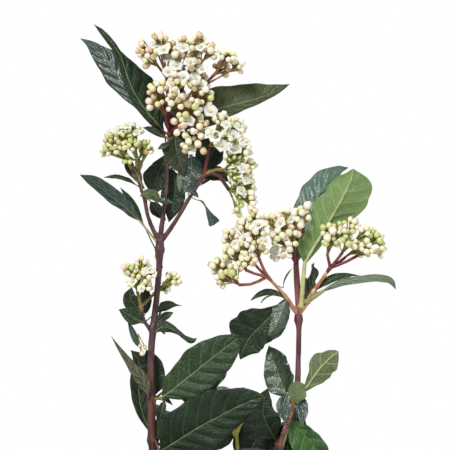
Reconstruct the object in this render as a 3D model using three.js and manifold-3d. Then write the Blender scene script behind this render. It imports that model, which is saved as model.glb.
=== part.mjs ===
// A potted laurustinus, a young evergreen flowering shrub, as separate named solids.
// Millimetres, +Z up, the origin under the middle of the pot. +X is right, +Y is away from the viewer.
// Two tall leaders rise from the compost, fork into three boughs each and end in flower heads.
// A third, shorter leader stands behind them, and short leafy shoots close the foot of the crown.

import * as THREE from "three";
import Module from "manifold-3d";
import { mergeVertices } from "three/addons/utils/BufferGeometryUtils.js";

const wasm = await Module();
wasm.setup();

// Driving dimensions
const CLEARANCE = 0.3;
const POT = { height: 112, baseRadius: 44, rimRadius: 67, rimHeight: 22, wall: 5.5, floor: 7 };
const DRAIN_HOLES = { count: 3, radius: 4.5, circle: 24 };
const COMPOST_TOP = 100;
const ROUND_SEGMENTS = 32;
const STEM_SIDES = 8;
const BOUGH_SIDES = 6;
const TWIG_SIDES = 4;
const KNOT_SIDES = 4;
const COLLAR_SIDES = 6;
const COLLAR = { wall: 1.1, height: 5 };
const LEAF = { thicknessShare: 0.013, stalkRadius: 0.75, fold: 14, arch: 0.1 };
const LEAF_STATIONS = [0.15, 0.38, 0.62, 0.84];
const KNOB_RADIUS = 1.7;
const RAY = { mainSides: 4, mainRadii: [1.1, 0.9], kneeRadius: 1.1, fineRadius: 0.2 };
const KNOT_RINGS = [[-0.9, 0.14], [-0.1, 1], [0.6, 0.66]];

// Which way the upper face of a leaf looks
const UP = [0, 0, 1];
const VIEWER = [0, -1, 0.25];
const VIEWER_UP = [0, -0.7, 0.7];

const BARK = { color: 0x6b3a34, roughness: 0.6 };
const GREEN_WOOD = { color: 0x9a8a4a, roughness: 0.6 };
const LEAF_GREEN = { color: 0x2f4a2c, roughness: 0.4 };
const BLOSSOM = { color: 0xe9e2cf, roughness: 0.6 };
const CLAY = { color: 0xb0674a, roughness: 0.85 };
const COMPOST = { color: 0x35281f, roughness: 1.0 };

// The limbs: each is a centre line from its foot to its tip, with a radius at each of its points
const LIMBS = {
  stem_left: {
    line: [
      [-8.5, 3, 98], [-13, 3, 107], [-24, 2, 128], [-36, 0, 153], [-40.5, -1, 178], [-41, -1, 205],
      [-41.5, 0, 229], [-40, 1, 248], [-38, 1, 266], [-36.5, 0, 284], [-36, 0, 300],
    ],
    radii: [5.2, 3.6, 3.1, 2.8, 2.6, 2.4, 2.1, 2.1, 1.8, 1.9, 2.6],
    sides: STEM_SIDES,
  },
  stem_right: {
    line: [
      [10, -3, 98], [14, -3.5, 107], [21, -4, 128], [28, -4, 152], [34.5, -3, 172], [41, -2, 193],
      [46, -1, 210], [47, 0, 230], [47.3, 0, 245], [47, 0, 257],
    ],
    radii: [4.6, 3.1, 2.7, 2.3, 2.0, 1.8, 1.9, 1.6, 1.6, 2.3],
    sides: STEM_SIDES,
  },
  stem_back: {
    line: [[-1.5, 15.5, 98], [-3, 19, 107], [-9, 26, 132], [-13, 31, 156], [-15, 33, 176]],
    radii: [4.2, 2.7, 2.3, 2.0, 1.7],
    sides: STEM_SIDES,
  },
  stem_young: {
    line: [[10, 7.5, 98], [11, 10, 107], [12, 14, 145], [10, 15, 184]],
    radii: [3.2, 2.0, 1.6, 1.1],
    sides: BOUGH_SIDES,
  },
  bough_left_mid: {
    line: [[-36, 0, 300.4], [-34, 0, 316], [-32, -1, 331]],
    radii: [1.7, 1.4, 1.3],
    sides: BOUGH_SIDES,
  },
  bough_left_west: {
    line: [[-36, 0, 298.5], [-39.5, -1.5, 305], [-43, -3, 314], [-45, -3.5, 324]],
    radii: [1.6, 1.4, 1.2, 1.2],
    sides: BOUGH_SIDES,
  },
  bough_left_east: {
    line: [[-36, 0, 299], [-32, -2, 303.5], [-25.5, -4, 313], [-19, -6, 324]],
    radii: [1.8, 1.5, 1.3, 1.3],
    sides: BOUGH_SIDES,
  },
  bough_right_mid: {
    line: [[47, 0, 257.4], [46.9, 0, 270], [46, -1, 284]],
    radii: [1.8, 1.5, 1.4],
    sides: BOUGH_SIDES,
  },
  bough_right_west: {
    line: [[47, 0, 255.5], [44, -1.5, 259], [41, -2.5, 263.5], [38, -3.5, 267.5]],
    radii: [1.6, 1.4, 1.5, 1.6],
    sides: BOUGH_SIDES,
  },
  bough_right_east: {
    line: [[47, 0, 255.5], [50.5, -1.5, 260], [53.5, -2.5, 265], [56.5, -3.5, 270]],
    radii: [1.7, 1.5, 1.6, 1.6],
    sides: BOUGH_SIDES,
  },
};
const FORKS = {
  stem_left: ["bough_left_mid", "bough_left_west", "bough_left_east"],
  stem_right: ["bough_right_mid", "bough_right_west", "bough_right_east"],
};

// A mass of foliage. Its collar sits round a stem, its twig grows on from a bough, or it has both.
// Each leaf springs from the collar, or from its place along the twig, from 0 at the foot to 1 at the tip.
// stalk runs from there to the blade, and reach from the foot of the blade to its tip, as [right, back, up].
const MASSES = {
  leaves_left_foot: {
    collar: ["stem_left", 146],
    leaves: [
      { stalk: [-7, -4, 3], reach: [-44, -14, 12], width: 24, face: UP },
      { stalk: [-2, 8, 3], reach: [-12, 46, 10], width: 23, face: UP },
      { stalk: [0, -8, 4], reach: [6, -46, 8], width: 22, face: UP },
    ],
  },
  leaves_left_base: {
    collar: ["stem_left", 180],
    leaves: [
      { stalk: [5, -6, -5], reach: [62, -12, 32], width: 36, face: VIEWER_UP, arch: 0.09, fold: 10 },
      { stalk: [-2, 7, 4], reach: [-8, 2, 48], width: 19, face: VIEWER, arch: 0.04 },
      { stalk: [2, 7, 1], reach: [4, 44, -14], width: 22, face: UP },
    ],
  },
  leaves_left_low: {
    collar: ["stem_left", 205],
    leaves: [
      { stalk: [9, -7, 2], reach: [45, -8, 33], width: 29, face: VIEWER_UP, arch: 0.1, fold: 8 },
      { stalk: [-4, -4, 4], reach: [-18, -8, 37], width: 17, face: [1, 0.5, 0.3], fold: 40, twist: 30 },
      { stalk: [2, -4, -1], reach: [3, -3, -9], width: 7, face: VIEWER },
      { stalk: [5, -2, -1], reach: [-3, -1, -12], width: 5, face: VIEWER },
      { stalk: [5, 1, 0], reach: [10, 0, -4], width: 6, face: VIEWER_UP },
      { stalk: [7, 7, 5], reach: [8, 47, 8], width: 21, face: UP },
    ],
  },
  leaves_left_middle: {
    collar: ["stem_left", 247],
    twig: [[-42.5, -1, 247], [-45.4, -3, 252], [-46.8, -4, 258.5]],
    leaves: [
      { stalk: [4, -2, 2], reach: [20, -5, -10], width: 14, face: VIEWER_UP, arch: 0.16, twist: 90 },
      { stalk: [3, 1, 3], reach: [10, 3, 5], width: 9, face: VIEWER },
      { stalk: [1, 8, 2], reach: [1, 44, 5], width: 20, face: [1, 0, 0.1] },
      { at: 0.45, stalk: [-2, -1, 1], reach: [-13, -3, 8], width: 14, face: VIEWER, arch: 0.05 },
      { at: 0.8, stalk: [-2, 2, 1], reach: [-11, 3, 10], width: 10, face: VIEWER },
      { at: 0.7, stalk: [1, 9, 1], reach: [0, 4, 17], width: 8, face: VIEWER },
      { at: 0.4, stalk: [5, 6, 3], reach: [20, 3, 0], width: 8, face: VIEWER_UP },
      { at: 0.3, stalk: [-4, -2, -2], reach: [-4, -3, -13], width: 7, face: [1, -0.4, 0], fold: 45 },
    ],
  },
  leaves_left_fork: {
    collar: ["stem_left", 294],
    leaves: [
      { stalk: [-8, -3, 10], reach: [-37, -6, 33], width: 20, face: [0.6, -0.5, 0.6], fold: 32, arch: 0.05 },
      { stalk: [0, 7, 2], reach: [2, 44, 5], width: 20, face: [1, 0, 0.15] },
    ],
  },
  leaves_left_top: {
    twig: [[-32, -1, 331.4], [-31, -2, 350], [-30, -2, 363]],
    leaves: [
      { at: 0.98, stalk: [-4, 1, 3], reach: [-41, -3, 62], width: 23, face: [0.35, -0.9, 0.2], fold: 20, twist: 110 },
      { at: 0.9, stalk: [-7, 7, 4], reach: [-47, 8, 54], width: 26, face: VIEWER, arch: 0.05, sweep: -0.05, fold: 18 },
      { at: 0.98, stalk: [6, 7, 4], reach: [66, 2, 27], width: 29, face: VIEWER, arch: 0.05, fold: 12 },
      { at: 0.9, stalk: [2, 8, 3], reach: [16, 44, 22], width: 24, face: UP },
      { at: 0.75, stalk: [-4, -1, 2], reach: [-10, -2, 4], width: 6, face: UP },
      { at: 0.6, stalk: [-2, -2, 1], reach: [-6, -8, 1], width: 9, face: VIEWER },
      { at: 0.3, stalk: [5, -6, -1], reach: [4, -3, -22], width: 13, face: VIEWER, arch: 0.1 },
      { at: 0.55, stalk: [-1, 6, 1], reach: [-10, 5, -18], width: 19, face: VIEWER },
      { at: 0.3, stalk: [3, 5, -1], reach: [-3, 3, -24], width: 20, face: VIEWER, arch: 0.08 },
      { at: 0.35, stalk: [-1, 7, 2], reach: [-14, 42, 10], width: 22, face: UP },
    ],
  },
  leaves_left_west: {
    twig: [[-45, -3.5, 324.4], [-47.2, -4, 331], [-49, -4, 336.5]],
    leaves: [
      { at: 0.5, stalk: [-3, 1, 2], reach: [-20, 2, 8], width: 11, face: [0.3, -0.3, 1], arch: 0.16 },
      { at: 0.15, stalk: [1, -4, -1], reach: [3, -18, -2], width: 15, face: [0, 0.4, 1], arch: 0.2 },
      { at: 0.85, stalk: [-3, 4, 2], reach: [-17, 6, 20], width: 12, face: VIEWER },
      { at: 0.7, stalk: [-1, 5, 3], reach: [-12, 38, 12], width: 18, face: UP },
    ],
  },
  leaves_left_east: {
    twig: [[-18.8, -6.1, 324.4], [-14.3, -7, 331], [-10.5, -8, 337]],
    leaves: [
      { at: 0.05, stalk: [1, -2, 2], reach: [4, -3, -5], width: 7, face: VIEWER },
      { at: 0.1, stalk: [5, -2, -4], reach: [11, -3, -14], width: 13, face: [0.7, -0.6, 0.5], fold: 30 },
      { at: 0.6, stalk: [5, 3, -2], reach: [11, 2, -1], width: 7, face: UP },
      { at: 0.8, stalk: [4, 6, 5], reach: [6, 6, 20], width: 17, face: VIEWER },
      { at: 0.6, stalk: [2, 6, 1], reach: [14, 40, 4], width: 20, face: UP },
    ],
  },
  leaves_right_foot: {
    collar: ["stem_right", 148],
    leaves: [
      { stalk: [6, -5, 3], reach: [40, -24, 9], width: 23, face: UP },
      { stalk: [4, 7, 3], reach: [22, 44, 8], width: 22, face: UP },
    ],
  },
  leaves_right_base: {
    collar: ["stem_right", 177],
    leaves: [
      { stalk: [5, -5, 0], reach: [29, -4, -5], width: 25, face: VIEWER_UP, arch: 0.18 },
      { stalk: [-3, 6, 4], reach: [-9, 4, 32], width: 24, face: VIEWER },
      { stalk: [-2, 6, 0], reach: [6, 48, 6], width: 22, face: UP },
      { stalk: [-4, -5, -3], reach: [-14, -44, -6], width: 23, face: UP },
    ],
  },
  leaves_right_low: {
    collar: ["stem_right", 204],
    leaves: [
      { stalk: [-4, -2, 2], reach: [-12, -3, 30], width: 19, face: VIEWER, fold: 25, arch: 0.03 },
      { stalk: [4, -2, 2], reach: [20, -4, 23], width: 20, face: [0.2, 0.7, 0.6], fold: 18 },
      { stalk: [0, -4, 1], reach: [-3, -16, 4], width: 12, face: [0, 0.3, 1], arch: 0.15 },
      { stalk: [1, 8, -3], reach: [0, 4, -32], width: 20, face: VIEWER, arch: 0.06 },
      { stalk: [-1, 7, 3], reach: [-14, 44, 14], width: 21, face: UP },
    ],
  },
  leaves_right_fork: {
    collar: ["stem_right", 252],
    leaves: [
      { stalk: [4, 3, 33], reach: [30, -2, 57], width: 32, face: [-0.5, 1, 0.1], fold: 12, arch: 0.04, sweep: -0.08 },
      { stalk: [-2, 10, 32], reach: [32, 10, 60], width: 34, face: [-0.6, -0.8, 0.3], fold: 14, arch: 0.04 },
      { stalk: [2, 9, 12], reach: [10, 42, 20], width: 22, face: UP },
    ],
  },
  leaves_right_west: {
    twig: [[37.8, -3.6, 267.8], [33.6, -4, 272.5], [29.6, -4.5, 276.8]],
    leaves: [
      { at: 0.5, stalk: [-3, -1, -2], reach: [-14, -3, -4], width: 9, face: VIEWER_UP, arch: 0.16 },
      { at: 0.2, stalk: [-3, -3, -2], reach: [-9, -2, -5], width: 3, face: UP },
      { at: 0.3, stalk: [-1, -4, -4], reach: [-8, -4, -20], width: 15, face: VIEWER, fold: 22 },
      { at: 0.3, stalk: [0, 5, -9], reach: [-27, 2, -31], width: 28, face: VIEWER, sweep: 0.12, fold: 8 },
      { at: 0.6, stalk: [-1, 6, 4], reach: [-6, 42, 22], width: 20, face: UP },
    ],
  },
  leaves_right_east: {
    twig: [[56.8, -3.6, 270.4], [61, -4, 276.4], [64.8, -4.5, 282]],
    leaves: [
      { at: 0.3, stalk: [5, -4, -2], reach: [40, -6, 0], width: 17, face: [0.1, 0.3, 1], arch: 0.18, fold: 10 },
      { at: 0.35, stalk: [3, 4, 1], reach: [21, 4, 4], width: 13, face: VIEWER_UP, arch: 0.16 },
      { at: 0.1, stalk: [-2, -1, 3], reach: [-4, -2, 11], width: 6, face: VIEWER },
      { at: 0.05, stalk: [-2.6, 1.6, 2], reach: [0, 1, 8], width: 6, face: VIEWER },
      { at: 0.7, stalk: [4, 4, 0], reach: [26, 36, 0], width: 18, face: UP },
    ],
  },
  leaves_back: {
    twig: [[-15, 33.1, 176.4], [-13, 35, 190], [-9, 36, 202]],
    leaves: [
      { at: 0.1, stalk: [-5, 5, 2], reach: [-32, 24, 6], width: 22, face: UP },
      { at: 0.1, stalk: [5, 5, 2], reach: [34, 22, 3], width: 22, face: UP },
      { at: 0.9, stalk: [1, 6, 3], reach: [6, 40, 14], width: 22, face: UP },
      { at: 0.6, stalk: [-2, 6, 1], reach: [-20, 34, 14], width: 20, face: UP },
      { at: 0.75, stalk: [4, 5, 2], reach: [24, 28, 16], width: 20, face: UP },
    ],
  },
};

// The flower heads. Each grows on from the tip of a twig or bough, and branches into main rays, each to its knee.
// From there finer rays end in knots of buds. A knot is its place from the foot of the flower head, as right,
// back and up, and then its radius.
const FLOWER_HEADS = {
  blossom_left_top: {
    on: "leaves_left_top",
    rays: [
      { knee: [-2, -4, 32], knots: [[-14, -6, 49, 5.5], [-7, -8, 53, 5], [0, -5, 48, 5], [-11, -10, 43, 4.6],
        [-4, 4, 50, 5]] },
      { knee: [8, -6, 27], knots: [[9, -8, 51, 5], [17, -6, 52, 5.4], [24, -5, 47, 4.6], [5, -12, 41, 5.2],
        [14, -10, 38, 5], [14, 5, 46, 5.2]] },
      { knee: [20, -4, 27], knots: [[34, -5, 43, 5.2], [40, -5, 38, 4], [31, 3, 38, 4.4]] },
      { knee: [-3, -8, 10], knots: [[-7, -13, 24, 5], [-8, -12, 16, 4.4], [4, -17, 28, 5.4], [4, -18, 16, 5.4]] },
      { knee: [9, -9, 6], knots: [[16, -14, 25, 5.2], [13, -18, 13, 5.4], [21, -13, 19, 4.6], [8, -18, 4, 5],
        [17, -15, 3, 5], [12, -13, -8, 4.4]] },
      { knee: [8, 4, 16], knots: [[4, 12, 34, 5.2], [17, 9, 32, 5.2], [10, 13, 20, 5]] },
    ],
  },
  blossom_left_east: {
    on: "leaves_left_east",
    rays: [
      { knee: [3, -3, 17], knots: [[11, -8, 31, 5], [20, -6, 28, 5], [7, -12, 22, 4.4], [16, -11, 20, 5]] },
      { knee: [12, -3, 3], knots: [[23, -6, 14, 5], [17, -9, 9, 4.8], [25, -4, 4, 5], [18, -8, -1, 4.4],
        [20, 6, 10, 4.8]] },
      { knee: [15, -2, -9], knots: [[26, -3, -7, 4.4], [21, -5, -12, 4], [27, -2, -16, 3.8], [20, -2, -21, 3.2],
        [19, 5, -6, 4.2]] },
    ],
  },
  blossom_left_west: {
    on: "leaves_left_west",
    rays: [
      { knee: [-6, -4, 10], knots: [[-15, -5, 24, 5], [-8, -8, 28, 4.8], [-16, -7, 16, 4.2], [-9, -12, 18, 4.8]] },
      { knee: [0, -4, 11], knots: [[-1, -5, 29, 4.6], [-2, -10, 20, 4.6], [6, -5, 16, 4.2], [-4, -10, 11, 3.6]] },
      { knee: [1, 4, 10], knots: [[-5, 8, 23, 4.8], [4, 8, 21, 4.8]] },
    ],
  },
  blossom_left_low: {
    on: "leaves_left_middle",
    rays: [
      { knee: [-2, -3, 9], knots: [[-6, -5, 21, 4.4], [1, -6, 25, 4.4], [5, -7, 20, 4], [-3, -9, 15, 4],
        [3, -8, 13, 3.4]] },
      { knee: [8, 10, 8], knots: [[19, 9, 16, 4], [14, 12, 11, 3.4]] },
      { knee: [-2, 2, 9], knots: [[-4, 5, 20, 4.2]] },
    ],
  },
  blossom_right_west: {
    on: "leaves_right_west",
    rays: [
      { knee: [-17, -3, -5], knots: [[-26, -4, -1, 4.4], [-30, -3, 6, 4.6], [-25, 3, 5, 4.2], [-20, -9, 3, 4.4]] },
      { knee: [-13, -5, 4], knots: [[-21, -7, 14, 5], [-22, -3, 23, 4.6], [-13, -11, 20, 5], [-12, -12, 10, 5]] },
      { knee: [-5, -6, 11], knots: [[-14, -6, 30, 4.6], [-5, -12, 28, 5], [-5, -14, 18, 4.8], [-8, -5, 36, 4.2]] },
      { knee: [-8, 3, 8], knots: [[-17, 6, 17, 5], [-8, 8, 24, 5], [-13, 9, 9, 4.6]] },
    ],
  },
  blossom_right_mid: {
    on: "bough_right_mid",
    rays: [
      { knee: [-6, -5, 9], knots: [[-15, -7, 25, 5], [-12, -12, 15, 4.8], [-11, -9, 6, 4], [-7, -7, 28, 4.6]] },
      { knee: [-2, -6, 12], knots: [[-1, -8, 24, 4.2], [-4, -12, 16, 4.6], [-4, -11, 8, 3.4], [2, -6, 30, 3.4]] },
      { knee: [4, -6, 22], knots: [[7, -7, 34, 2.4]] },
      { knee: [-4, 4, 10], knots: [[-10, 8, 22, 5], [-2, 8, 20, 4.6]] },
    ],
  },
  blossom_right_east: {
    on: "leaves_right_east",
    rays: [
      { knee: [-2, -3, 8], knots: [[0, -5, 16, 4.6], [5, -7, 22, 4.6], [-2, -4, 22, 3.6]] },
      { knee: [7, -3, 9], knots: [[12, -5, 24, 4.6], [10, -9, 16, 4.6], [19, -7, 20, 4.6]] },
      { knee: [16, -2, 7], knots: [[26, -5, 17, 4.6], [29, -4, 10, 3.6], [21, -7, 11, 3.8]] },
      { knee: [9, 2, 6], knots: [[24, 5, 19, 4.6], [17, 5, 11, 4.4]] },
    ],
  },
  blossom_back: {
    on: "leaves_back",
    rays: [
      { knee: [1, 2, 10], knots: [[0, 2, 21, 5], [8, 6, 19, 5], [3, 12, 21, 5]] },
      { knee: [-3, 5, 9], knots: [[-6, 9, 18, 5], [-9, 15, 17, 4.6], [10, 14, 16, 4.6]] },
    ],
  },
  blossom_young: {
    on: "stem_young",
    rays: [
      { knee: [0, 1, 3], knots: [[-4, 0, 7, 3], [4, 1, 9, 3.2], [0, 5, 7, 3]] },
    ],
  },
};

// The short shoots at the foot of the crown follow one seeded rule
const SHOOTS = {
  count: 7, firstBearing: 12, footRadius: 24, tipRadius: 37, tipHeight: 136, radii: [1.9, 1.2],
  pairs: [0.55, 0.78, 0.98], leafLength: [40, 56], widthShare: 0.44, rise: [8, 34], stalk: 7,
  seed: 11,
};
const SHOOT_SPACE = { reach: 88, top: 168, overRim: 117, clearOf: 4.4 };

function point([x, y, z]) {
  return new THREE.Vector3(x, y, z);
}

function curveOf(line) {
  return new THREE.CatmullRomCurve3(line.map(point), false, "catmullrom", 0.5);
}

function mixed(values, share) {
  const place = share * (values.length - 1);
  const first = Math.min(Math.floor(place), values.length - 2);
  return THREE.MathUtils.lerp(values[first], values[first + 1], place - first);
}

// A repeatable stream of numbers from 0 to 1
function seeded(seed) {
  let state = seed >>> 0;
  return () => {
    state = (Math.imul(state, 1664525) + 1013904223) >>> 0;
    return state / 4294967296;
  };
}

function between([low, high], share) {
  return low + (high - low) * share;
}

// A closed skin over rings of points that run the same way round. A ring of one point is a tip. The two halves
// of the way round split their quads alike, as in a mirror, which keeps the faces of a thin twisted blade apart.
function loft(rings) {
  const places = [];
  const faces = [];
  const starts = rings.map((ring) => {
    const start = places.length;
    places.push(...ring);
    return start;
  });
  const count = Math.max(...rings.map((ring) => ring.length));
  for (let r = 0; r + 1 < rings.length; r++) {
    for (let i = 0; i < count; i++) {
      const j = (i + 1) % count;
      const [a, b] = [starts[r], starts[r + 1]];
      if (rings[r + 1].length === 1) {
        faces.push([a + i, a + j, b]);
      } else if (i < count / 2) {
        faces.push([a + i, a + j, b + j], [a + i, b + j, b + i]);
      } else {
        faces.push([a + i, a + j, b + i], [a + j, b + j, b + i]);
      }
    }
  }
  for (let i = 1; i + 1 < count; i++) {
    faces.push([starts[0], starts[0] + i + 1, starts[0] + i]);
    if (rings.at(-1).length > 1) {
      faces.push([starts.at(-1), starts.at(-1) + i, starts.at(-1) + i + 1]);
    }
  }
  const geometry = new THREE.BufferGeometry().setFromPoints(places);
  return geometry.setIndex(faces.flat());
}

function solidOf(geometry) {
  const bare = geometry.clone();
  bare.deleteAttribute("normal");
  bare.deleteAttribute("uv");
  const merged = mergeVertices(bare, 1e-4);
  return new wasm.Manifold(new wasm.Mesh({
    numProp: 3,
    vertProperties: new Float32Array(merged.attributes.position.array),
    triVerts: new Uint32Array(merged.index.array),
  }));
}

function joined(solids) {
  return wasm.Manifold.union(solids);
}

function meshOf(name, solid, look) {
  const { numProp, numVert, vertProperties, triVerts } = solid.getMesh();
  const places = new Float32Array(numVert * 3);
  for (let i = 0; i < numVert; i++) {
    places.set(vertProperties.subarray(i * numProp, i * numProp + 3), i * 3);
  }
  const geometry = new THREE.BufferGeometry();
  geometry.setAttribute("position", new THREE.BufferAttribute(places, 3));
  geometry.setIndex(new THREE.BufferAttribute(new Uint32Array(triVerts), 1));
  const mesh = new THREE.Mesh(geometry, new THREE.MeshStandardMaterial(look));
  mesh.name = name;
  return mesh;
}

// A tapering round limb along a line, grown all round by an extra radius where another piece is cut clear of it
function limbSolid({ line, radii, sides }, extra = 0, stepsPerSpan = 1) {
  const curve = curveOf(line);
  const steps = (line.length - 1) * stepsPerSpan;
  const side = new THREE.Vector3(1, 0.3, 0);
  const rings = [];
  for (let i = 0; i <= steps; i++) {
    const share = i / steps;
    const centre = curve.getPoint(share);
    const along = curve.getTangent(share);
    side.addScaledVector(along, -side.dot(along)).normalize();
    const up = new THREE.Vector3().crossVectors(along, side);
    const radius = mixed(radii, share) + extra;
    if (i === 0) centre.addScaledVector(along, -extra);
    if (i === steps) centre.addScaledVector(along, extra);
    rings.push(Array.from({ length: sides }, (_, k) => {
      const angle = (k / sides) * 2 * Math.PI;
      return centre.clone()
        .addScaledVector(side, radius * Math.cos(angle))
        .addScaledVector(up, radius * Math.sin(angle));
    }));
  }
  return solidOf(loft(rings));
}

// The place on a stem's centre line at a height, with the stem's radius there
function onStem(name, height) {
  const { line, radii } = LIMBS[name];
  const curve = curveOf(line);
  let [low, high] = [0, 1];
  for (let i = 0; i < 30; i++) {
    const middle = (low + high) / 2;
    if (curve.getPoint(middle).z < height) low = middle;
    else high = middle;
  }
  return { centre: curve.getPoint(low), radius: mixed(radii, low) };
}

// Half the width of a blade along its length: broadest before the middle, drawn out to the tip
function halfWidth(width, share) {
  return 0.5 * width * Math.sin(Math.PI * share ** 0.82) ** 0.85;
}

// The frame of a blade at a share of its length: its midrib's place, its side and the way its upper face looks
function bladeFrame(leaf, foot, share) {
  const reach = point(leaf.reach);
  const length = reach.length();
  const along = reach.clone().normalize();
  const face = point(leaf.face);
  face.addScaledVector(along, -face.dot(along)).normalize();
  const side = new THREE.Vector3().crossVectors(along, face);
  const arch = (leaf.arch ?? LEAF.arch) * length;
  const sweep = (leaf.sweep ?? 0) * length;
  const bulge = 4 * share * (1 - share);
  const slope = 4 * (1 - 2 * share);
  const centre = foot.clone().addScaledVector(reach, share)
    .addScaledVector(face, arch * bulge)
    .addScaledVector(side, sweep * bulge);
  const tangent = reach.clone().addScaledVector(face, arch * slope).addScaledVector(side, sweep * slope);
  tangent.normalize();
  const normal = face.clone().addScaledVector(tangent, -face.dot(tangent)).normalize();
  const turn = THREE.MathUtils.degToRad((leaf.twist ?? 0) * (share - 0.5));
  normal.applyAxisAngle(tangent, turn);
  return { centre, normal, side: new THREE.Vector3().crossVectors(tangent, normal) };
}

// A point of a blade, across it from -1 at one edge to 1 at the other, above or below its middle by an offset
function bladePoint(leaf, foot, share, across, offset) {
  const { centre, normal, side } = bladeFrame(leaf, foot, share);
  const fold = THREE.MathUtils.degToRad(leaf.fold ?? LEAF.fold);
  const half = halfWidth(leaf.width, share);
  return centre.addScaledVector(side, across * half * Math.cos(fold))
    .addScaledVector(normal, Math.abs(across) * half * Math.sin(fold) + offset);
}

// A square ring round a leaf's stalk, turned as the blade is, across the way the stalk runs
function stalkRing(leaf, centre, way) {
  const blade = bladeFrame(leaf, centre, 0);
  const side = blade.side.clone().addScaledVector(way, -blade.side.dot(way));
  const normal = blade.normal.clone().addScaledVector(way, -blade.normal.dot(way));
  if (side.length() > normal.length()) normal.crossVectors(side.normalize(), way);
  else side.crossVectors(way, normal.normalize());
  return [[-1, 0], [0, 1], [1, 0], [0, -1]].map(([x, y]) => centre.clone()
    .addScaledVector(side, x * LEAF.stalkRadius)
    .addScaledVector(normal, y * LEAF.stalkRadius));
}

function leafSolid(leaf, root) {
  const foot = root.clone().add(point(leaf.stalk));
  const length = point(leaf.reach).length();
  const thickness = LEAF.thicknessShare * length;
  const stalkWay = point(leaf.stalk).normalize();
  const bend = stalkWay.clone().add(point(leaf.reach).normalize()).normalize();
  const rings = [stalkRing(leaf, root, stalkWay), stalkRing(leaf, foot, bend)];
  for (const share of LEAF_STATIONS) {
    rings.push([
      bladePoint(leaf, foot, share, -1, 0),
      bladePoint(leaf, foot, share, 0, thickness / 2),
      bladePoint(leaf, foot, share, 1, 0),
      bladePoint(leaf, foot, share, 0, -thickness / 2),
    ]);
  }
  rings.push([bladePoint(leaf, foot, 1, 0, 0)]);
  return solidOf(loft(rings));
}

// Where a leaf's stalk starts, sunk in the collar's wall or in the twig
function leafRoot(mass, leaf) {
  if (leaf.at !== undefined) return curveOf(mass.twig).getPoint(leaf.at);
  const { centre, radius } = onStem(...mass.collar);
  const out = point(leaf.stalk).setZ(0).normalize();
  return centre.addScaledVector(out, radius + COLLAR.wall * 0.5);
}

function collarSolid([name, height]) {
  const low = onStem(name, height - COLLAR.height / 2);
  const middle = onStem(name, height);
  const high = onStem(name, height + COLLAR.height / 2);
  const wall = CLEARANCE + COLLAR.wall;
  return limbSolid({
    line: [low, middle, high].map(({ centre }) => centre.toArray()),
    radii: [low.radius + wall * 0.75, middle.radius + wall * 1.15, high.radius + wall * 0.75],
    sides: COLLAR_SIDES,
  });
}

const TWIG_RADII = [1.2, 1.0];

// The space below the clearance over the compost, which trims the foot of each stem and shoot flat
function groundSolid() {
  const top = COMPOST_TOP + CLEARANCE;
  return solidOf(new THREE.BoxGeometry(2 * POT.rimRadius, 2 * POT.rimRadius, top).translate(0, 0, top / 2));
}

function massSolid(mass) {
  const pieces = mass.leaves.map((leaf) => leafSolid(leaf, leafRoot(mass, leaf)));
  if (mass.collar) pieces.push(collarSolid(mass.collar));
  if (mass.twig) {
    const radii = mass.radii ?? TWIG_RADII;
    pieces.push(limbSolid({ line: mass.twig, radii, sides: TWIG_SIDES }));
  }
  let solid = joined(pieces);
  if (mass.collar) solid = solid.subtract(limbSolid(LIMBS[mass.collar[0]], CLEARANCE));
  if (mass.isRooted) solid = solid.subtract(groundSolid());
  return solid;
}

// The tip of a limb or twig and the way it points
function tipOf(name) {
  const line = LIMBS[name] ? LIMBS[name].line : MASSES[name].twig;
  const curve = curveOf(line);
  return { tip: curve.getPoint(1), along: curve.getTangent(1) };
}

function ballSolid(geometry, centre) {
  return solidOf(geometry.translate(centre.x, centre.y, centre.z));
}

// A fine ray and the knot of buds that it swells into, as one skin
function knotSolid(foot, centre, radius) {
  const along = centre.clone().sub(foot);
  const length = along.length();
  along.normalize();
  const side = new THREE.Vector3(1, 0.3, 0).addScaledVector(along, -along.x - 0.3 * along.y).normalize();
  const up = new THREE.Vector3().crossVectors(along, side);
  const ringAt = (distance, width) => Array.from({ length: KNOT_SIDES }, (_, k) => {
    const angle = (k / KNOT_SIDES) * 2 * Math.PI;
    return foot.clone().addScaledVector(along, distance)
      .addScaledVector(side, width * Math.cos(angle))
      .addScaledVector(up, width * Math.sin(angle));
  });
  const rings = KNOT_RINGS.map(([place, width]) =>
    ringAt(Math.max(length + place * radius, 0.3 * length), width * radius));
  const tip = centre.clone().addScaledVector(along, radius);
  return solidOf(loft([ringAt(0, RAY.fineRadius), ...rings, [tip]]));
}

function raySolids(foot, { knee, knots }) {
  const bend = foot.clone().add(point(knee));
  const main = { line: [foot.toArray(), bend.toArray()], radii: RAY.mainRadii, sides: RAY.mainSides };
  return [
    limbSolid(main),
    ballSolid(new THREE.OctahedronGeometry(RAY.kneeRadius), bend),
    ...knots.map(([x, y, z, radius]) => knotSolid(bend, foot.clone().add(point([x, y, z])), radius)),
  ];
}

function flowerHeadSolid({ on, rays }) {
  const { tip, along } = tipOf(on);
  const foot = tip.addScaledVector(along, KNOB_RADIUS + CLEARANCE);
  const knob = ballSolid(new THREE.OctahedronGeometry(KNOB_RADIUS), foot);
  return joined([knob, ...rays.flatMap((ray) => raySolids(foot, ray))]);
}

// Points spread over a leaf, to tell whether it comes near another
function leafSamples(leaf, root) {
  const foot = root.clone().add(point(leaf.stalk));
  const samples = [];
  for (let i = 1; i <= 10; i++) {
    for (const across of [-0.9, -0.45, 0, 0.45, 0.9]) {
      samples.push(bladePoint(leaf, foot, i / 10.5, across, 0));
    }
  }
  return samples;
}

function limbSamples({ line }) {
  const curve = curveOf(line);
  return Array.from({ length: 31 }, (_, i) => curve.getPoint(i / 30));
}

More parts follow.
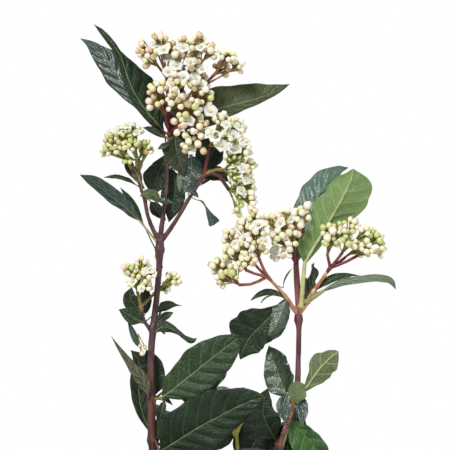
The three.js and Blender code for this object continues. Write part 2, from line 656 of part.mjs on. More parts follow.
// A short shoot leans out from the foot of the plant and bears leaves in crossed pairs.
// A leaf that would leave the shoots' space, or come near a limb or another leaf, is left off.
function shootMasses(taken) {
  const draw = seeded(SHOOTS.seed);
  const masses = {};
  for (let k = 0; k < SHOOTS.count; k++) {
    const bearing = SHOOTS.firstBearing + (k * 360) / SHOOTS.count;
    const out = (radius, height, turn = 0) => {
      const angle = THREE.MathUtils.degToRad(bearing + turn);
      return [radius * Math.cos(angle), radius * Math.sin(angle), height];
    };
    const footHeight = COMPOST_TOP - 2;
    const twig = [
      out(SHOOTS.footRadius, footHeight),
      out((SHOOTS.footRadius + SHOOTS.tipRadius) / 2 - 2, (footHeight + SHOOTS.tipHeight) / 2),
      out(SHOOTS.tipRadius, SHOOTS.tipHeight + 8 * (draw() - 0.5)),
    ];
    const mass = { twig, radii: SHOOTS.radii, isRooted: true, leaves: [] };
    SHOOTS.pairs.forEach((at, i) => {
      for (const half of [0, 180, 0, 180, 0, 180, 0, 180, 0, 180]) {
        const turn = bearing + 90 * i + 80 * (draw() - 0.5);
        const angle = THREE.MathUtils.degToRad(turn + half);
        const rise = THREE.MathUtils.degToRad(between(SHOOTS.rise, draw()));
        const length = between(SHOOTS.leafLength, draw());
        const flat = Math.cos(rise);
        const way = [Math.cos(angle) * flat, Math.sin(angle) * flat, Math.sin(rise)];
        const leaf = {
          at,
          stalk: way.map((part) => part * SHOOTS.stalk),
          reach: way.map((part) => part * length),
          width: SHOOTS.widthShare * length,
          face: UP,
        };
        const samples = leafSamples(leaf, curveOf(twig).getPoint(at));
        const inSpace = samples.every((place) =>
          Math.hypot(place.x, place.y) < SHOOT_SPACE.reach
          && place.z < SHOOT_SPACE.top && place.z > SHOOT_SPACE.overRim);
        const isClear = samples.every((place) =>
          taken.every((other) => place.distanceTo(other) > SHOOT_SPACE.clearOf));
        if (inSpace && isClear && mass.leaves.length < 2 * (i + 1)) {
          mass.leaves.push(leaf);
          taken.push(...samples);
        }
      }
    });
    masses[`shoot_${k + 1}`] = mass;
  }
  return masses;
}

// The pot: a tapered clay wall under a broad rim band, with drain holes in its floor
function innerRadius(height) {
  const inside = { base: POT.baseRadius - POT.wall + 1, top: POT.rimRadius - POT.wall };
  return THREE.MathUtils.lerp(inside.base, inside.top, (height - POT.floor) / (POT.height - POT.floor));
}

function lathe(profile) {
  const turned = new THREE.LatheGeometry(profile.map(([r, z]) => new THREE.Vector2(r, z)), ROUND_SEGMENTS);
  const solid = solidOf(turned.rotateX(Math.PI / 2));
  return solid;
}

function potSolid() {
  const bandFoot = POT.height - POT.rimHeight;
  const profile = [
    [0, 0], [POT.baseRadius - 1.5, 0], [POT.baseRadius, 1.5], [POT.rimRadius - 6, bandFoot],
    [POT.rimRadius - 1.5, bandFoot + 2], [POT.rimRadius, POT.height - 2], [POT.rimRadius - 1.5, POT.height],
    [innerRadius(POT.height) + 1, POT.height], [innerRadius(POT.height - 2), POT.height - 2],
    [innerRadius(POT.floor), POT.floor], [0, POT.floor],
  ];
  let pot = lathe(profile);
  for (let k = 0; k < DRAIN_HOLES.count; k++) {
    const angle = (k / DRAIN_HOLES.count) * 2 * Math.PI;
    const hole = new THREE.CylinderGeometry(DRAIN_HOLES.radius, DRAIN_HOLES.radius, 4 * POT.floor, 12)
      .rotateX(Math.PI / 2)
      .translate(DRAIN_HOLES.circle * Math.cos(angle), DRAIN_HOLES.circle * Math.sin(angle), 0);
    pot = pot.subtract(solidOf(hole));
  }
  return pot;
}

function compostSolid() {
  const bottom = POT.floor + CLEARANCE;
  const edge = COMPOST_TOP - 2.5;
  return lathe([
    [0, bottom], [innerRadius(bottom) - CLEARANCE, bottom], [innerRadius(edge) - CLEARANCE, edge],
    [44, COMPOST_TOP - 0.8], [26, COMPOST_TOP], [0, COMPOST_TOP],
  ]);
}

const plant = new THREE.Group();
plant.name = "potted_laurustinus";

plant.add(meshOf("pot", potSolid(), CLAY));
plant.add(meshOf("compost", compostSolid(), COMPOST));

const forkBoughs = Object.entries(FORKS).flatMap(([stem, boughs]) =>
  boughs.map((name, i) => [name, [stem, ...boughs.slice(0, i)]]));
const cutFrom = Object.fromEntries(forkBoughs);
for (const [name, limb] of Object.entries(LIMBS)) {
  let solid = limbSolid(limb).subtract(groundSolid());
  for (const other of cutFrom[name] ?? []) {
    solid = solid.subtract(limbSolid(LIMBS[other], CLEARANCE));
  }
  plant.add(meshOf(name, solid, name === "stem_young" ? GREEN_WOOD : BARK));
}

const taken = Object.values(LIMBS).flatMap(limbSamples);
for (const mass of Object.values(MASSES)) {
  for (const leaf of mass.leaves) taken.push(...leafSamples(leaf, leafRoot(mass, leaf)));
}
for (const [name, mass] of Object.entries({ ...MASSES, ...shootMasses(taken) })) {
  plant.add(meshOf(name, massSolid(mass), LEAF_GREEN));
}

for (const [name, head] of Object.entries(FLOWER_HEADS)) {
  plant.add(meshOf(name, flowerHeadSolid(head), BLOSSOM));
}

export default plant;
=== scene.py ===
"""Looks of the potted laurustinus: fine leaves, wood, buds and flowers, pot and compost, and the studio."""
import math
import random

import bpy
import numpy as np
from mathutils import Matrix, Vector, noise


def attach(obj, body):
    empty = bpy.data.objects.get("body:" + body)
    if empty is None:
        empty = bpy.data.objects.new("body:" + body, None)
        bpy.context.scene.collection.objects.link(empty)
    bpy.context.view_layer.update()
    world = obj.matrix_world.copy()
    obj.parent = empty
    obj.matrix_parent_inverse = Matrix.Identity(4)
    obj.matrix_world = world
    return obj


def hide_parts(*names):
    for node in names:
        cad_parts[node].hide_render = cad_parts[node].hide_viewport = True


MM = 0.001
TURN = 2 * math.pi

# How fine the wood's skin, the pot and the compost are
WOOD_VOXEL = 0.45
POT_SIDES = 160
CRUMBS = 1900

# The camera stands level with the middle of the flowering shoots, as in the photograph
CAMERA = dict(place=(0.003, -1.0125, 0.309), lens=135, sensor=36)
# The colour and strength of the light from all round and of what the camera sees behind the plant, and each
# soft box: its name, place, size in metres, power in watts and tint
DOME = ((0.93, 0.97, 1.0, 1), 0.36)
BACKDROP = ((1, 1, 1, 1), 1.0)
SOFT_BOXES = (
    ("key", (-0.8, -1.2, 1.5), 0.55, 34, (1.0, 0.985, 0.955)),
    ("fill", (1.4, -1.0, 0.6), 0.9, 8, (0.96, 0.98, 1.0)),
    ("rim", (0.7, 1.2, 1.3), 0.6, 20, (1.0, 1.0, 1.0)),
)
LIGHTS_AIM = (0, 0, 0.25)
FLOOR = dict(radius=1.15, sides=96, fade=(0.25, 1.1))

# Plant and pot sizes, in millimetres, as the part has them
CLEARANCE = 0.3
COMPOST_TOP = 100
POT = dict(height=112, base_radius=44, shoulder_radius=61, rim_radius=67, rim_height=22,
           floor=7, inner_radius=39.5, inner_flare=22)
DRAIN_HOLES = dict(count=3, radius=4.5, circle=24)
COLLAR_WALL = 1.1
LEAF = dict(fold=14, arch=0.1, thickness=0.36)
KNOB_RADIUS = 1.7
TWIG_RADII = (1.2, 1.0)
SHOOTS = dict(
    count=7, first_bearing=12, foot_radius=24, tip_radius=37, tip_height=136, tip_play=8, radii=(1.9, 1.2),
    sunk=2, pairs=(0.55, 0.78, 0.98), tries=5, turn_play=80, leaf_length=(40, 56), width_share=0.44,
    rise=(8, 34), stalk=7, seed=11,
)
SHOOT_SPACE = dict(reach=88, top=168, over_rim=117, clear_of=4.4)

# What the part leaves out. A fine blade's build, in millimetres on a blade of full length, or in shares of
# its length or half width
BLADE = dict(
    full_length=55, most_size=1.2, long=36, station=1.1, stations=(14, 56),
    flank=0.2, rib=(0.24, 0.08), rib_share=(0.012, 0.3), rib_drop=0.25,
    vein_spacing=8.0, vein_slant=0.17, vein_height=1.1, vein_floor=0.7,
    edge_droop=0.5, curl=(-0.04, 0.05), hook=0.03,
)
LEAF_STALK = (1.6, 1.2, 0.95, 0.55)
# Radii along a flower head's tubes, from the foot of each to its end
NECK, RAY, FORK = (1.0, 1.35, 1.5), (1.2, 0.85, 0.95), (0.7, 0.5, 0.55)
BUD_STALK, FLOWER_STALK, STUB = (0.34, 0.3, 0.36), (0.34, 0.3, 0.4), (0.38, 0.34, 0.4)
CALYX, THROAT, STAMEN = (0.32, 0.62, 0.5), (0.5, 0.75, 1.0), (0.14, 0.11)
# How a knot's buds stand: the least knot that bears any, the degrees that they cover, how far their
# directions stray, the spread of their distances, how near two of them come for their widths, and the size of
# buds on a bare knot
KNOT = dict(least=2.6, cap=112, stray=0.16, depth=(0.82, 1.08), nearest=0.86, bare=0.55)
# How far the wood's tubes start inside what carries them, and how they swell where a mass's collar sits
BOUGH_BACK, TWIG_BACK = 1.5, 2.0
COLLAR_SWELL, COLLAR_REACH = 0.8, 2.2
COMPOST = dict(radius=57.6, base_radius=56, base=88, rings=34, sides=96, crumb_reach=55.5)
# Each kind of crumb above its share of the draw, and the sizes that are drawn
CRUMB_KINDS = ((0.975, "perlite"), (0.86, "chip"), (0.5, "soil_damp"), (-1, "soil"))
CRUMB_SIZES = dict(perlite=(0.6, 1.3), chip=(1.2, 3.2), soil=(0.5, 1.9))

# Which way the upper face of a leaf looks
UP = (0, 0, 1)
VIEWER = (0, -1, 0.25)
VIEWER_UP = (0, -0.7, 0.7)
AWAY = (0.1, 1, -0.1)
EDGE_ON = (1, 0, 0.1)


def plain(tone, stalk, reach, width, face=VIEWER, **more):
    """A leaf as the part has it, from its root, with its tone; fine holds what its fine blade changes."""
    return dict(tone=tone, stalk=stalk, reach=reach, width=width, face=face, **more)


def shaped(line, left, right=None, start=0, **more):
    """A blade's own outline: its midrib's line from the foot, as x, y, z or as x, z where y stays 0, and its
    half widths left and right of the midrib, seen from the foot, between its start and its pointed tip."""
    line = [(point[0], 0, point[1]) if len(point) == 2 else point for point in line]
    return dict(line=line, left=[start, *left, 0], right=[start, *(right or left), 0], **more)


def spoke(knee, *knots, **looks):
    """A ray of a flower head, from the head's foot: its knee, its knots of buds with radii, and its looks."""
    return dict(knee=knee, knots=knots, **looks)


LIMBS = {
    "stem_left": dict(line=[(-8.5, 3, 98), (-13, 3, 107), (-24, 2, 128), (-36, 0, 153), (-40.5, -1, 178),
        (-41, -1, 205), (-41.5, 0, 229), (-40, 1, 248), (-38, 1, 266), (-36.5, 0, 284), (-36, 0, 300)],
        radii=[5.2, 3.6, 3.1, 2.8, 2.6, 2.4, 2.1, 2.1, 1.8, 1.9, 2.6]),
    "stem_right": dict(line=[(10, -3, 98), (14, -3.5, 107), (21, -4, 128), (28, -4, 152), (34.5, -3, 172),
        (41, -2, 193), (46, -1, 210), (47, 0, 230), (47.3, 0, 245), (47, 0, 257)],
        radii=[4.6, 3.1, 2.7, 2.3, 2.0, 1.8, 1.9, 1.6, 1.6, 2.3]),
    "stem_back": dict(line=[(-1.5, 15.5, 98), (-3, 19, 107), (-9, 26, 132), (-13, 31, 156), (-15, 33, 176)],
        radii=[4.2, 2.7, 2.3, 2.0, 1.7]),
    "stem_young": dict(line=[(10, 7.5, 98), (11, 10, 107), (12, 14, 145), (10, 15, 184)],
        radii=[3.2, 2.0, 1.6, 1.1]),
    "bough_left_mid": dict(line=[(-36, 0, 300.4), (-34, 0, 316), (-32, -1, 331)], radii=[1.7, 1.4, 1.3]),
    "bough_left_west": dict(line=[(-36, 0, 298.5), (-39.5, -1.5, 305), (-43, -3, 314), (-45, -3.5, 324)],
        radii=[1.6, 1.4, 1.2, 1.2]),
    "bough_left_east": dict(line=[(-36, 0, 299), (-32, -2, 303.5), (-25.5, -4, 313), (-19, -6, 324)],
        radii=[1.8, 1.5, 1.3, 1.3]),
    "bough_right_mid": dict(line=[(47, 0, 257.4), (46.9, 0, 270), (46, -1, 284)], radii=[1.8, 1.5, 1.4]),
    "bough_right_west": dict(line=[(47, 0, 255.5), (44, -1.5, 259), (41, -2.5, 263.5), (38, -3.5, 267.5)],
        radii=[1.6, 1.4, 1.5, 1.6]),
    "bough_right_east": dict(line=[(47, 0, 255.5), (50.5, -1.5, 260), (53.5, -2.5, 265), (56.5, -3.5, 270)],
        radii=[1.7, 1.5, 1.6, 1.6]),
}
# The leaves of each mass in the part, and small blades between them. A leaf's root is on the collar round a
# stem, at a share of the mass's twig, or at a root of its own. Its tone names its materials: d dark, m
# middling, g bright and s glossy green, b bluish and c pale bluish, whose upper faces' colour holds a painted
# bluish sheen, o olive, f olive with a dull back, p pale, u brown-backed, r red-brown.
MASSES = {
    "leaves_left_foot": dict(collar=("stem_left", 146), leaves=[
        plain("d", (-7, -4, 3), (-44, -14, 12), 24, UP),
        plain("m", (-2, 8, 3), (-12, 46, 10), 23, UP),
        plain("d", (0, -8, 4), (6, -46, 8), 22, UP),
    ]),
    "leaves_left_base": dict(collar=("stem_left", 180), leaves=[
        plain("d", (5, -6, -5), (62, -12, 32), 36, VIEWER_UP, arch=0.09, fold=10, fine=shaped(
            [(8.4, -1, 4.9), (16.7, -3, 10.5), (25.7, -4.5, 16), (34.6, -6, 20.9), (43.4, -7.5, 25.8),
            (52.3, -9, 30.1), (58.1, -10, 32), (62.2, -11, 32.7)], [15, 17.4, 18, 17, 14, 9.6, 4.8],
            [9, 13.5, 14, 13, 10.4, 6.8, 3], start=0.5, foot=(-35.7, -8, 174.5), face=(0.3, -0.93, 0.05),
            fold=6, relief=1.1)),
        plain("d", (-2, 7, 4), (-8, 2, 48), 19, arch=0.04, fine=shaped(
            [(-3.6, 8.4), (-6, 17.4), (-6.6, 26.4), (-6, 36), (-7.2, 43.2), (-11.4, 48.6)],
            [2.8, 4.4, 5.2, 5.4, 3.4], [3.2, 6, 7, 7, 5], start=0.8, foot=(-42.6, 7, 184.8))),
        plain("d", (2, 7, 1), (4, 44, -14), 22, UP, fine=dict(reach=(13, 44, -14))),
    ], extra=[
        shaped([(0.6, 7), (1.2, 14), (2.4, 22)], [2.2, 2.4], [2, 2.2], stalk=(4, -3, 1), foot=(-38, -1, 176)),
        shaped([(10, 3, 5), (21, 6, 10), (33, 8, 14), (41, 9, 15)], [4, 6, 5.5], [6, 8, 7], stalk=(5, 6, 1),
            foot=(-30, 10, 167)),
    ]),
    "leaves_left_low": dict(collar=("stem_left", 205), leaves=[
        plain("m", (9, -7, 2), (45, -8, 33), 29, VIEWER_UP, arch=0.1, fold=8, fine=shaped(
            [(6, -1, 4.5), (12, -2, 9.4), (18.6, -3, 14.6), (25.2, -4, 20.1), (31.8, -5, 25.4),
            (38.2, -6, 30.4), (44.1, -7, 35), (47, -8, 36.4)], [8.7, 10.2, 12, 12.6, 11.4, 8.4, 3.5],
            [7.4, 12, 13.6, 13.2, 12, 9.4, 4.5], start=0.5, foot=(-34.5, -7, 206.4), face=(0.1, -0.95, 0.3),
            fold=3, relief=1.6)),
        plain("u", (-4, -4, 4), (-18, -8, 37), 17, (1, 0.5, 0.3), fold=40, twist=30, fine=shaped(
            [(-1.2, -1, 6.6), (-4.2, -2, 12), (-7.8, -3, 16.8), (-12, -4, 22.8), (-16.8, -5, 29.4),
            (-22, -6, 37.4)], [2.6, 3.6, 3, 2, 1.1], [3.2, 4.4, 3.6, 2.4, 1.4], foot=(-42.6, -5, 205.8),
            face=AWAY, fold=12, twist=0)),
        plain("d", (2, -4, -1), (3, -3, -9), 7, fine=shaped(
            [(2.4, -4.2), (3, -8.4), (1.2, -13.8)], [2.4, 2.2], foot=(-39, -5, 202.8))),
        plain("d", (5, -2, -1), (-3, -1, -12), 5),
        plain("d", (5, 1, 0), (10, 0, -4), 6, VIEWER_UP, fine=shaped(
            [(3.6, -1.2), (7.8, -4.8)], [1.8], foot=(-36, -2, 205.8))),
        plain("o", (7, 7, 5), (8, 47, 8), 21, UP, fine=dict(reach=(8, 47, -8), arch=0.02)),
    ], extra=[
        shaped([(0.6, 6.6), (0, 13.8), (-1.8, 21), (-5.4, 27.6)], [4, 8, 8], [5, 6, 4.4], stalk=(2, 4, 3),
            foot=(-39, 4.5, 206.4)),
    ]),
    "leaves_left_middle": dict(collar=("stem_left", 247), twig=[(-42.5, -1, 247), (-45.4, -3, 252),
        (-46.8, -4, 258.5)], leaves=[
        plain("d", (4, -2, 2), (20, -5, -10), 14, VIEWER_UP, arch=0.16, twist=90, fine=shaped(
            [(4.2, 0, 3), (9, 0, 2.4), (13.8, -1, 0), (18, -1, -3), (22.2, -2, -4.8), (25.2, -2, -3.3)],
            [4, 3.4, 1.8, 1.4, 2], [4, 3.8, 1.6, 1.6, 2.6], foot=(-39, -4, 244.8), face=(0, -0.8, 0.6),
            twist=0)),
        plain("d", (3, 1, 3), (10, 3, 5), 9, fine=shaped(
            [(3, 2.4), (6, 4.2), (9.3, 5.7)], [2.2, 2.2], foot=(-37.2, 2, 250.8))),
        plain("d", (1, 8, 2), (1, 44, 5), 20, EDGE_ON, fine=dict(arch=0.02)),
        plain("d", (-2, -1, 1), (-13, -3, 8), 14, at=0.45, arch=0.05, fine=shaped(
            [(-4.2, 2.4), (-9, 5.1), (-14.4, 7.8)], [4.8, 4], [5.4, 4.6], foot=(-46.2, -5, 250.8))),
        plain("d", (-2, 2, 1), (-11, 3, 10), 10, at=0.8, fine=shaped(
            [(-4.2, 4.8), (-7.2, 9.6), (-6, 15.6)], [5, 4.6], [4.2, 4.6], foot=(-46.8, -1, 256.2))),
        plain("d", (1, 9, 1), (0, 4, 17), 8, at=0.7),
        plain("u", (5, 6, 3), (20, 3, 0), 8, VIEWER_UP, at=0.4, fine=shaped(
            [(4.2, 3), (8.4, 4.5), (12, 4.5), (15.6, 4.2)], [3, 2.8, 0.8], [2.6, 2.4, 0.8],
            foot=(-38.4, 4, 256.2), face=VIEWER)),
        plain("b", (-4, -2, -2), (-4, -3, -13), 7, (1, -0.4, 0), at=0.3, fold=45, fine=shaped(
            [(2.4, -6), (4.8, -12), (7.8, -17.4)], [1.9, 2], foot=(-55.2, -4, 252), face=(0.2, -0.9, 0.3),
            fold=20)),
    ]),
    "leaves_left_fork": dict(collar=("stem_left", 294), leaves=[
        plain("b", (-8, -3, 10), (-37, -6, 33), 20, (0.6, -0.5, 0.6), fold=32, arch=0.05, fine=shaped(
            [(-4.2, -1, 4.2), (-9, -2, 8.4), (-15, -3, 13.2), (-21.6, -4, 18.6), (-28.2, -5, 23.4),
            (-35.4, -6, 27.6)], [3, 3.4, 4.6, 4.2, 3.4], [3, 4.6, 5.4, 5.4, 4], root=(-38.7, -2.5, 300),
            foot=(-48, -3, 311.4), face=(0.1, -0.9, 0.35), fold=22)),
        plain("m", (0, 7, 2), (2, 44, 5), 20, (1, 0, 0.15), fine=dict(reach=(-5, 44, -8), face=EDGE_ON,
            arch=0.02, fold=3)),
    ], extra=[
        shaped([(-4.2, 7.2), (-8.4, 15), (-14.4, 22.8)], [2.6, 2.4], [2.2, 2], stalk=(-3, 2, 6),
            foot=(-45.6, -1, 309)),
    ]),
    "leaves_left_top": dict(twig=[(-32, -1, 331.4), (-31, -2, 350), (-30, -2, 363)], leaves=[
        plain("d", (-4, 1, 3), (-41, -3, 62), 23, (0.35, -0.9, 0.2), at=0.98, fold=20, twist=110, fine=shaped(
            [(-7.8, -1, 9), (-13.8, -1.5, 16.8), (-19.2, -2, 26.4), (-22.8, -2, 36.6), (-26, -2, 45.6),
            (-30.6, -2.5, 52.5), (-36, -3, 58.8), (-41.4, -3, 63.6)], [3.5, 4, 3.5, 3, 2.5, 2.4, 1.8],
            [11.5, 15, 15, 8.5, 2.4, 2, 1.6], face=(0, -0.95, 0.2), fold=-16, twist=0)),
        plain("b", (-7, 7, 4), (-47, 8, 54), 26, at=0.9, arch=0.05, sweep=-0.05, fold=18, fine=shaped(
            [(-6, 2, 9), (-12, 4, 17.4), (-18.6, 7, 26.4), (-25.4, 10, 36.2), (-31.2, 13, 43.8),
            (-37.2, 16, 50.4), (-43.2, 18, 55.8), (-48.8, 20, 59.2)], [2, 3, 6, 8.4, 6.8, 5.2, 2.2],
            [4, 7, 9, 9.5, 8.5, 5, 2.6], face=(-0.2, -0.93, 0.29), fold=-8, relief=1.5)),
        plain("o", (6, 7, 4), (66, 2, 27), 29, at=0.98, arch=0.05, fold=12, fine=shaped(
            [(9.6, 0, 6.6), (18.6, 0, 10.8), (27.6, 0, 13.8), (36.6, 1, 16.2), (45.6, 1, 18.6), (54, 1, 21.6),
            (60.6, 2, 24.6), (66, 2, 27.6)], [13, 14.5, 15, 12.6, 10.3, 7.2, 3.9],
            [7, 8, 6.4, 5, 3.6, 2.4, 1.4], fold=-6)),
        plain("d", (2, 8, 3), (16, 44, 22), 24, UP, at=0.9),
        plain("u", (-4, -1, 2), (-10, -2, 4), 6, UP, at=0.75, fine=shaped(
            [(0.6, -6.6), (1.8, -12.6), (3.6, -18.6), (5.4, -25)], [7, 6.5, 4.5], [8, 7.5, 5],
            foot=(-27, -5, 363), face=VIEWER)),
        plain("u", (-2, -2, 1), (-6, -8, 1), 9, at=0.6, fine=shaped(
            [(-3.6, -1, -1.2), (-7.2, -1, -3)], [2], foot=(-30, -7, 357))),
        plain("b", (5, -6, -1), (4, -3, -22), 13, at=0.3, arch=0.1, fine=shaped(
            [(0.6, -5.4), (0, -11.4), (-1.8, -17.4), (-4.8, -23.4)], [6, 6.6, 5], [5.4, 5.6, 4],
            foot=(-17.4, -6, 351), face=(-0.2, -0.9, 0.4), fold=-8, relief=1.6)),
        plain("d", (-1, 6, 1), (-10, 5, -18), 19, at=0.55, fine=shaped(
            [(-2.4, -6), (-4.8, -11.4), (-7.2, -17.4), (-9, -26)], [6, 9, 9], [4, 7, 7.5])),
        plain("d", (3, 5, -1), (-3, 3, -24), 20, at=0.3, arch=0.08, fine=shaped(
            [(1.2, -6), (1.2, -13.2), (0, -20.4), (-2.4, -31.5)], [5, 6.5, 6.5], [7, 8.4, 7])),
        plain("d", (-1, 7, 2), (-14, 42, 10), 22, UP, at=0.35, fine=dict(reach=(4, 42, -4), face=EDGE_ON,
            arch=0.02)),
    ], extra=[
        shaped([(-0.6, -5.4), (-1.2, -11.4), (-1.8, -17.4)], [2.4, 2.4], at=0.3, stalk=(9, -2.5, 3),
            face=AWAY, tone="b"),
        shaped([(6, -0.6), (13, -2.4), (21, -6)], [5, 6], at=0.3, stalk=(2, 1, 1), foot=(-30, 3, 361)),
        shaped([(-1, 7.5), (-2, 15), (-3, 22)], [2.4, 2.6], [2.2, 2.4], at=0.4, stalk=(-1, 2, 2),
            foot=(-31.5, 4, 368)),
        shaped([(-4.2, 2.7), (-9, 5.4), (-13.8, 6.6)], [1.8, 2], at=0.2, stalk=(-1, -2, 1),
            foot=(-32.4, -5, 360.6)),
        shaped([(-3.6, 6), (-7.2, 12), (-11.4, 19.2)], [2.6, 3], at=0.2, stalk=(-1, 2, 2),
            foot=(-33, 1, 362.4)),
    ]),
    "leaves_left_west": dict(twig=[(-45, -3.5, 324.4), (-47.2, -4, 331), (-49, -4, 336.5)], leaves=[
        plain("d", (-3, 1, 2), (-20, 2, 8), 11, (0.3, -0.3, 1), at=0.5, arch=0.16, fine=shaped(
            [(-4.8, 2.7), (-9.6, 4.2), (-14.4, 4.8), (-19.2, 4.5)], [1.8, 2.2, 1.8], [2, 2.2, 1.6],
            face=(0, -0.6, 0.8))),
        plain("o", (1, -4, -1), (3, -18, -2), 15, (0, 0.4, 1), at=0.15, arch=0.2, fine=shaped(
            [(3.6, -1, 1.5), (7.2, -1, 0.6), (9.6, -1, -1.8), (10.2, -1, -5.4)], [2.4, 3, 2.5], [3.4, 4, 2.5],
            foot=(-47.4, -8, 326.4), face=(0, -0.9, 0.4))),
        plain("m", (-3, 4, 2), (-17, 6, 20), 12, at=0.85, fine=dict(reach=(-6, 6, 14), width=6)),
        plain("d", (-1, 5, 3), (-12, 38, 12), 18, UP, at=0.7, fine=dict(reach=(-4, 38, 8), face=EDGE_ON,
            arch=0.02)),
    ], extra=[
        shaped([(-1.5, 4.2), (-3.6, 8.4), (-6, 12)], [2.2, 2], [3.4, 3], at=0.3, stalk=(-0.5, -2.5, 2),
            foot=(-46.8, -7, 333), face=AWAY, tone="r"),
        shaped([(3.6, -1.8), (7.2, -2.4), (10.8, -3)], [2, 2], at=0.15, stalk=(7.2, -5, -1.2),
            face=(0, -0.8, 0.6), tone="b"),
        shaped([(2.4, -3.6), (5.4, -7.2), (9.6, -12)], [3.6, 3.4], at=0.15, stalk=(3.6, 8, -3)),
    ]),
    "leaves_left_east": dict(twig=[(-18.8, -6.1, 324.4), (-14.3, -7, 331), (-10.5, -8, 337)], leaves=[
        plain("b", (1, -2, 2), (4, -3, -5), 7, at=0.05, fine=shaped(
            [(1.8, 1.2), (4.2, 0), (6.6, -2.4)], [1.8, 1.8], foot=(-19.2, -8, 327.6))),
        plain("b", (5, -2, -4), (11, -3, -14), 13, (0.7, -0.6, 0.5), at=0.1, fold=30, fine=shaped(
            [(3, -0.9), (5.4, -4.2), (7.2, -8.4), (9, -12), (10.1, -14.3), (10.5, -15)],
            [0.6, 0.5, 2, 3.3, 3.9], [0.6, 0.5, 1.7, 2.8, 3.3], foot=(-13.8, -8, 324), face=(0.2, -0.9, 0.3),
            fold=6)),
        plain("u", (5, 3, -2), (11, 2, -1), 7, UP, at=0.6, fine=shaped(
            [(3.6, 1.8), (7.8, 2.4), (11.4, 1.2), (16.2, -1.8)], [4, 5.4, 4.4], [3, 4.2, 3],
            foot=(-10.8, -4, 336.6), face=VIEWER)),
        plain("d", (4, 6, 5), (6, 6, 20), 17, at=0.8, fine=shaped(
            [(0.6, 5.4), (2.4, 10.8), (5.4, 16.2), (9, 21.6)], [7, 10, 9], [5.5, 8, 6])),
        plain("u", (2, 6, 1), (14, 40, 4), 20, UP, at=0.6),
    ]),
    "leaves_right_foot": dict(collar=("stem_right", 148), leaves=[
        plain("m", (6, -5, 3), (40, -24, 9), 23, UP),
        plain("d", (4, 7, 3), (22, 44, 8), 22, UP),
    ]),
    "leaves_right_base": dict(collar=("stem_right", 177), leaves=[
        plain("g", (5, -5, 0), (29, -4, -5), 25, VIEWER_UP, arch=0.18, fine=shaped(
            [(4, -4), (9, -9), (14, -15), (19, -23), (23, -32)], [4, 6, 6.6, 5.6], [8, 12, 12, 8],
            foot=(42, -2, 192), face=(0.1, -0.95, 0.2), relief=1.6)),
        plain("d", (-3, 6, 4), (-9, 4, 32), 24, fine=shaped(
            [(-3, 6), (-6, 12), (-7.2, 18), (-6, 25), (-4, 31)], [13, 15, 10, 5], [8, 9, 7, 4],
            foot=(33, 3, 180))),
        plain("m", (-2, 6, 0), (6, 48, 6), 22, UP),
        plain("d", (-4, -5, -3), (-14, -44, -6), 23, UP),
    ], extra=[
        shaped([(-6, -7), (-11, -14), (-15, -22), (-17, -30)], [9, 11, 8], [13, 14, 9], stalk=(-2, 8, 2),
            foot=(32, 18, 190)),
        shaped([(0, -8), (1, -16), (2, -26), (3, -36)], [8, 10, 8], [9, 11, 8], stalk=(2, 5, 2),
            foot=(40, 9, 190)),
    ]),
    "leaves_right_low": dict(collar=("stem_right", 204), leaves=[
        plain("s", (-4, -2, 2), (-12, -3, 30), 19, fold=25, arch=0.03, fine=shaped(
            [(-2.4, 2, 5.4), (-4.8, 4.5, 11.4), (-7.2, 7, 18), (-9.3, 9.5, 24), (-11.4, 12, 30.3)],
            [8, 9.3, 7.5, 4.5], [4.5, 7.5, 9.3, 8.4], foot=(40.8, -3, 205.8), face=(0.1, -0.92, 0.38),
            fold=-16, relief=1.6)),
        plain("f", (4, -2, 2), (20, -4, 23), 20, (0.2, 0.7, 0.6), fold=18, fine=shaped(
            [(3.6, 0, 5.4), (7.2, -1, 10.8), (11.4, -1, 16.2), (15.6, -2, 20.7), (19.8, -2, 24),
            (21.6, -2, 25.4)], [3.6, 6.6, 8, 8, 3], [2.4, 4.5, 8, 6, 3], foot=(49.2, -3, 208.2), face=AWAY,
            fold=12, wave=2, rib=2.5, relief=0.6)),
        plain("p", (0, -4, 1), (-3, -16, 4), 12, (0, 0.3, 1), arch=0.15, fine=shaped(
            [(0, -1, 3), (-0.2, -1, 5.8), (-0.5, -1, 8.8), (-1, -1, 11.6), (-1.4, -1, 13.8)],
            [4.4, 5.6, 5.6, 4.2], foot=(46.2, -5, 202.4), face=(0.2, -0.95, 0.2))),
        plain("d", (1, 8, -3), (0, 4, -32), 20, arch=0.06, fine=shaped(
            [(0.6, 0, -7), (1, 0, -14), (1, 1, -21), (0, 1, -30)], [4.5, 6, 9], [5, 8, 10],
            foot=(45.6, 7, 201.6))),
        plain("m", (-1, 7, 3), (-14, 44, 14), 21, UP, fine=dict(reach=(-4, 44, 6), face=EDGE_ON, arch=0.02)),
    ], extra=[
        shaped([(1.4, -2.5, -5.4), (2.2, -5.2, -11.4), (1.4, -8.6, -19.2)], [3.8, 3.6], [3.4, 3.2],
            stalk=(2, -3, 0), foot=(47, -1, 208), face=(-0.21, -0.89, 0.4), tone="b"),
        shaped([(-1.8, -2.8, -6), (-1.8, -5, -11.4), (-1.2, -7.6, -17.4)], [4.6, 3.6], stalk=(-2, -4, -2),
            foot=(40, -3, 208.6), face=(-0.21, -0.89, 0.4), tone="b"),
    ]),
    "leaves_right_fork": dict(collar=("stem_right", 252), leaves=[
        plain("p", (4, 3, 33), (30, -2, 57), 32, (-0.5, 1, 0.1), fold=12, arch=0.04, sweep=-0.08, fine=shaped(
            [(4, 0, 7.8), (8.4, 0, 15), (12.6, 0, 22.2), (16.8, 0, 30), (21, -1, 37.8), (24.6, -1, 45),
            (27.6, -1, 51.6), (28.8, -1, 57.6)], [2.4, 3.6, 5.4, 10, 15, 16, 14],
            [9.4, 9.6, 9.6, 13, 10.5, 10, 6.6], root=(48.6, -4, 261), foot=(50.4, -7, 285),
            face=(-0.1, 1, 0.05), fold=10, wave=0.8, girth=1.9, rib=2, relief=1)),
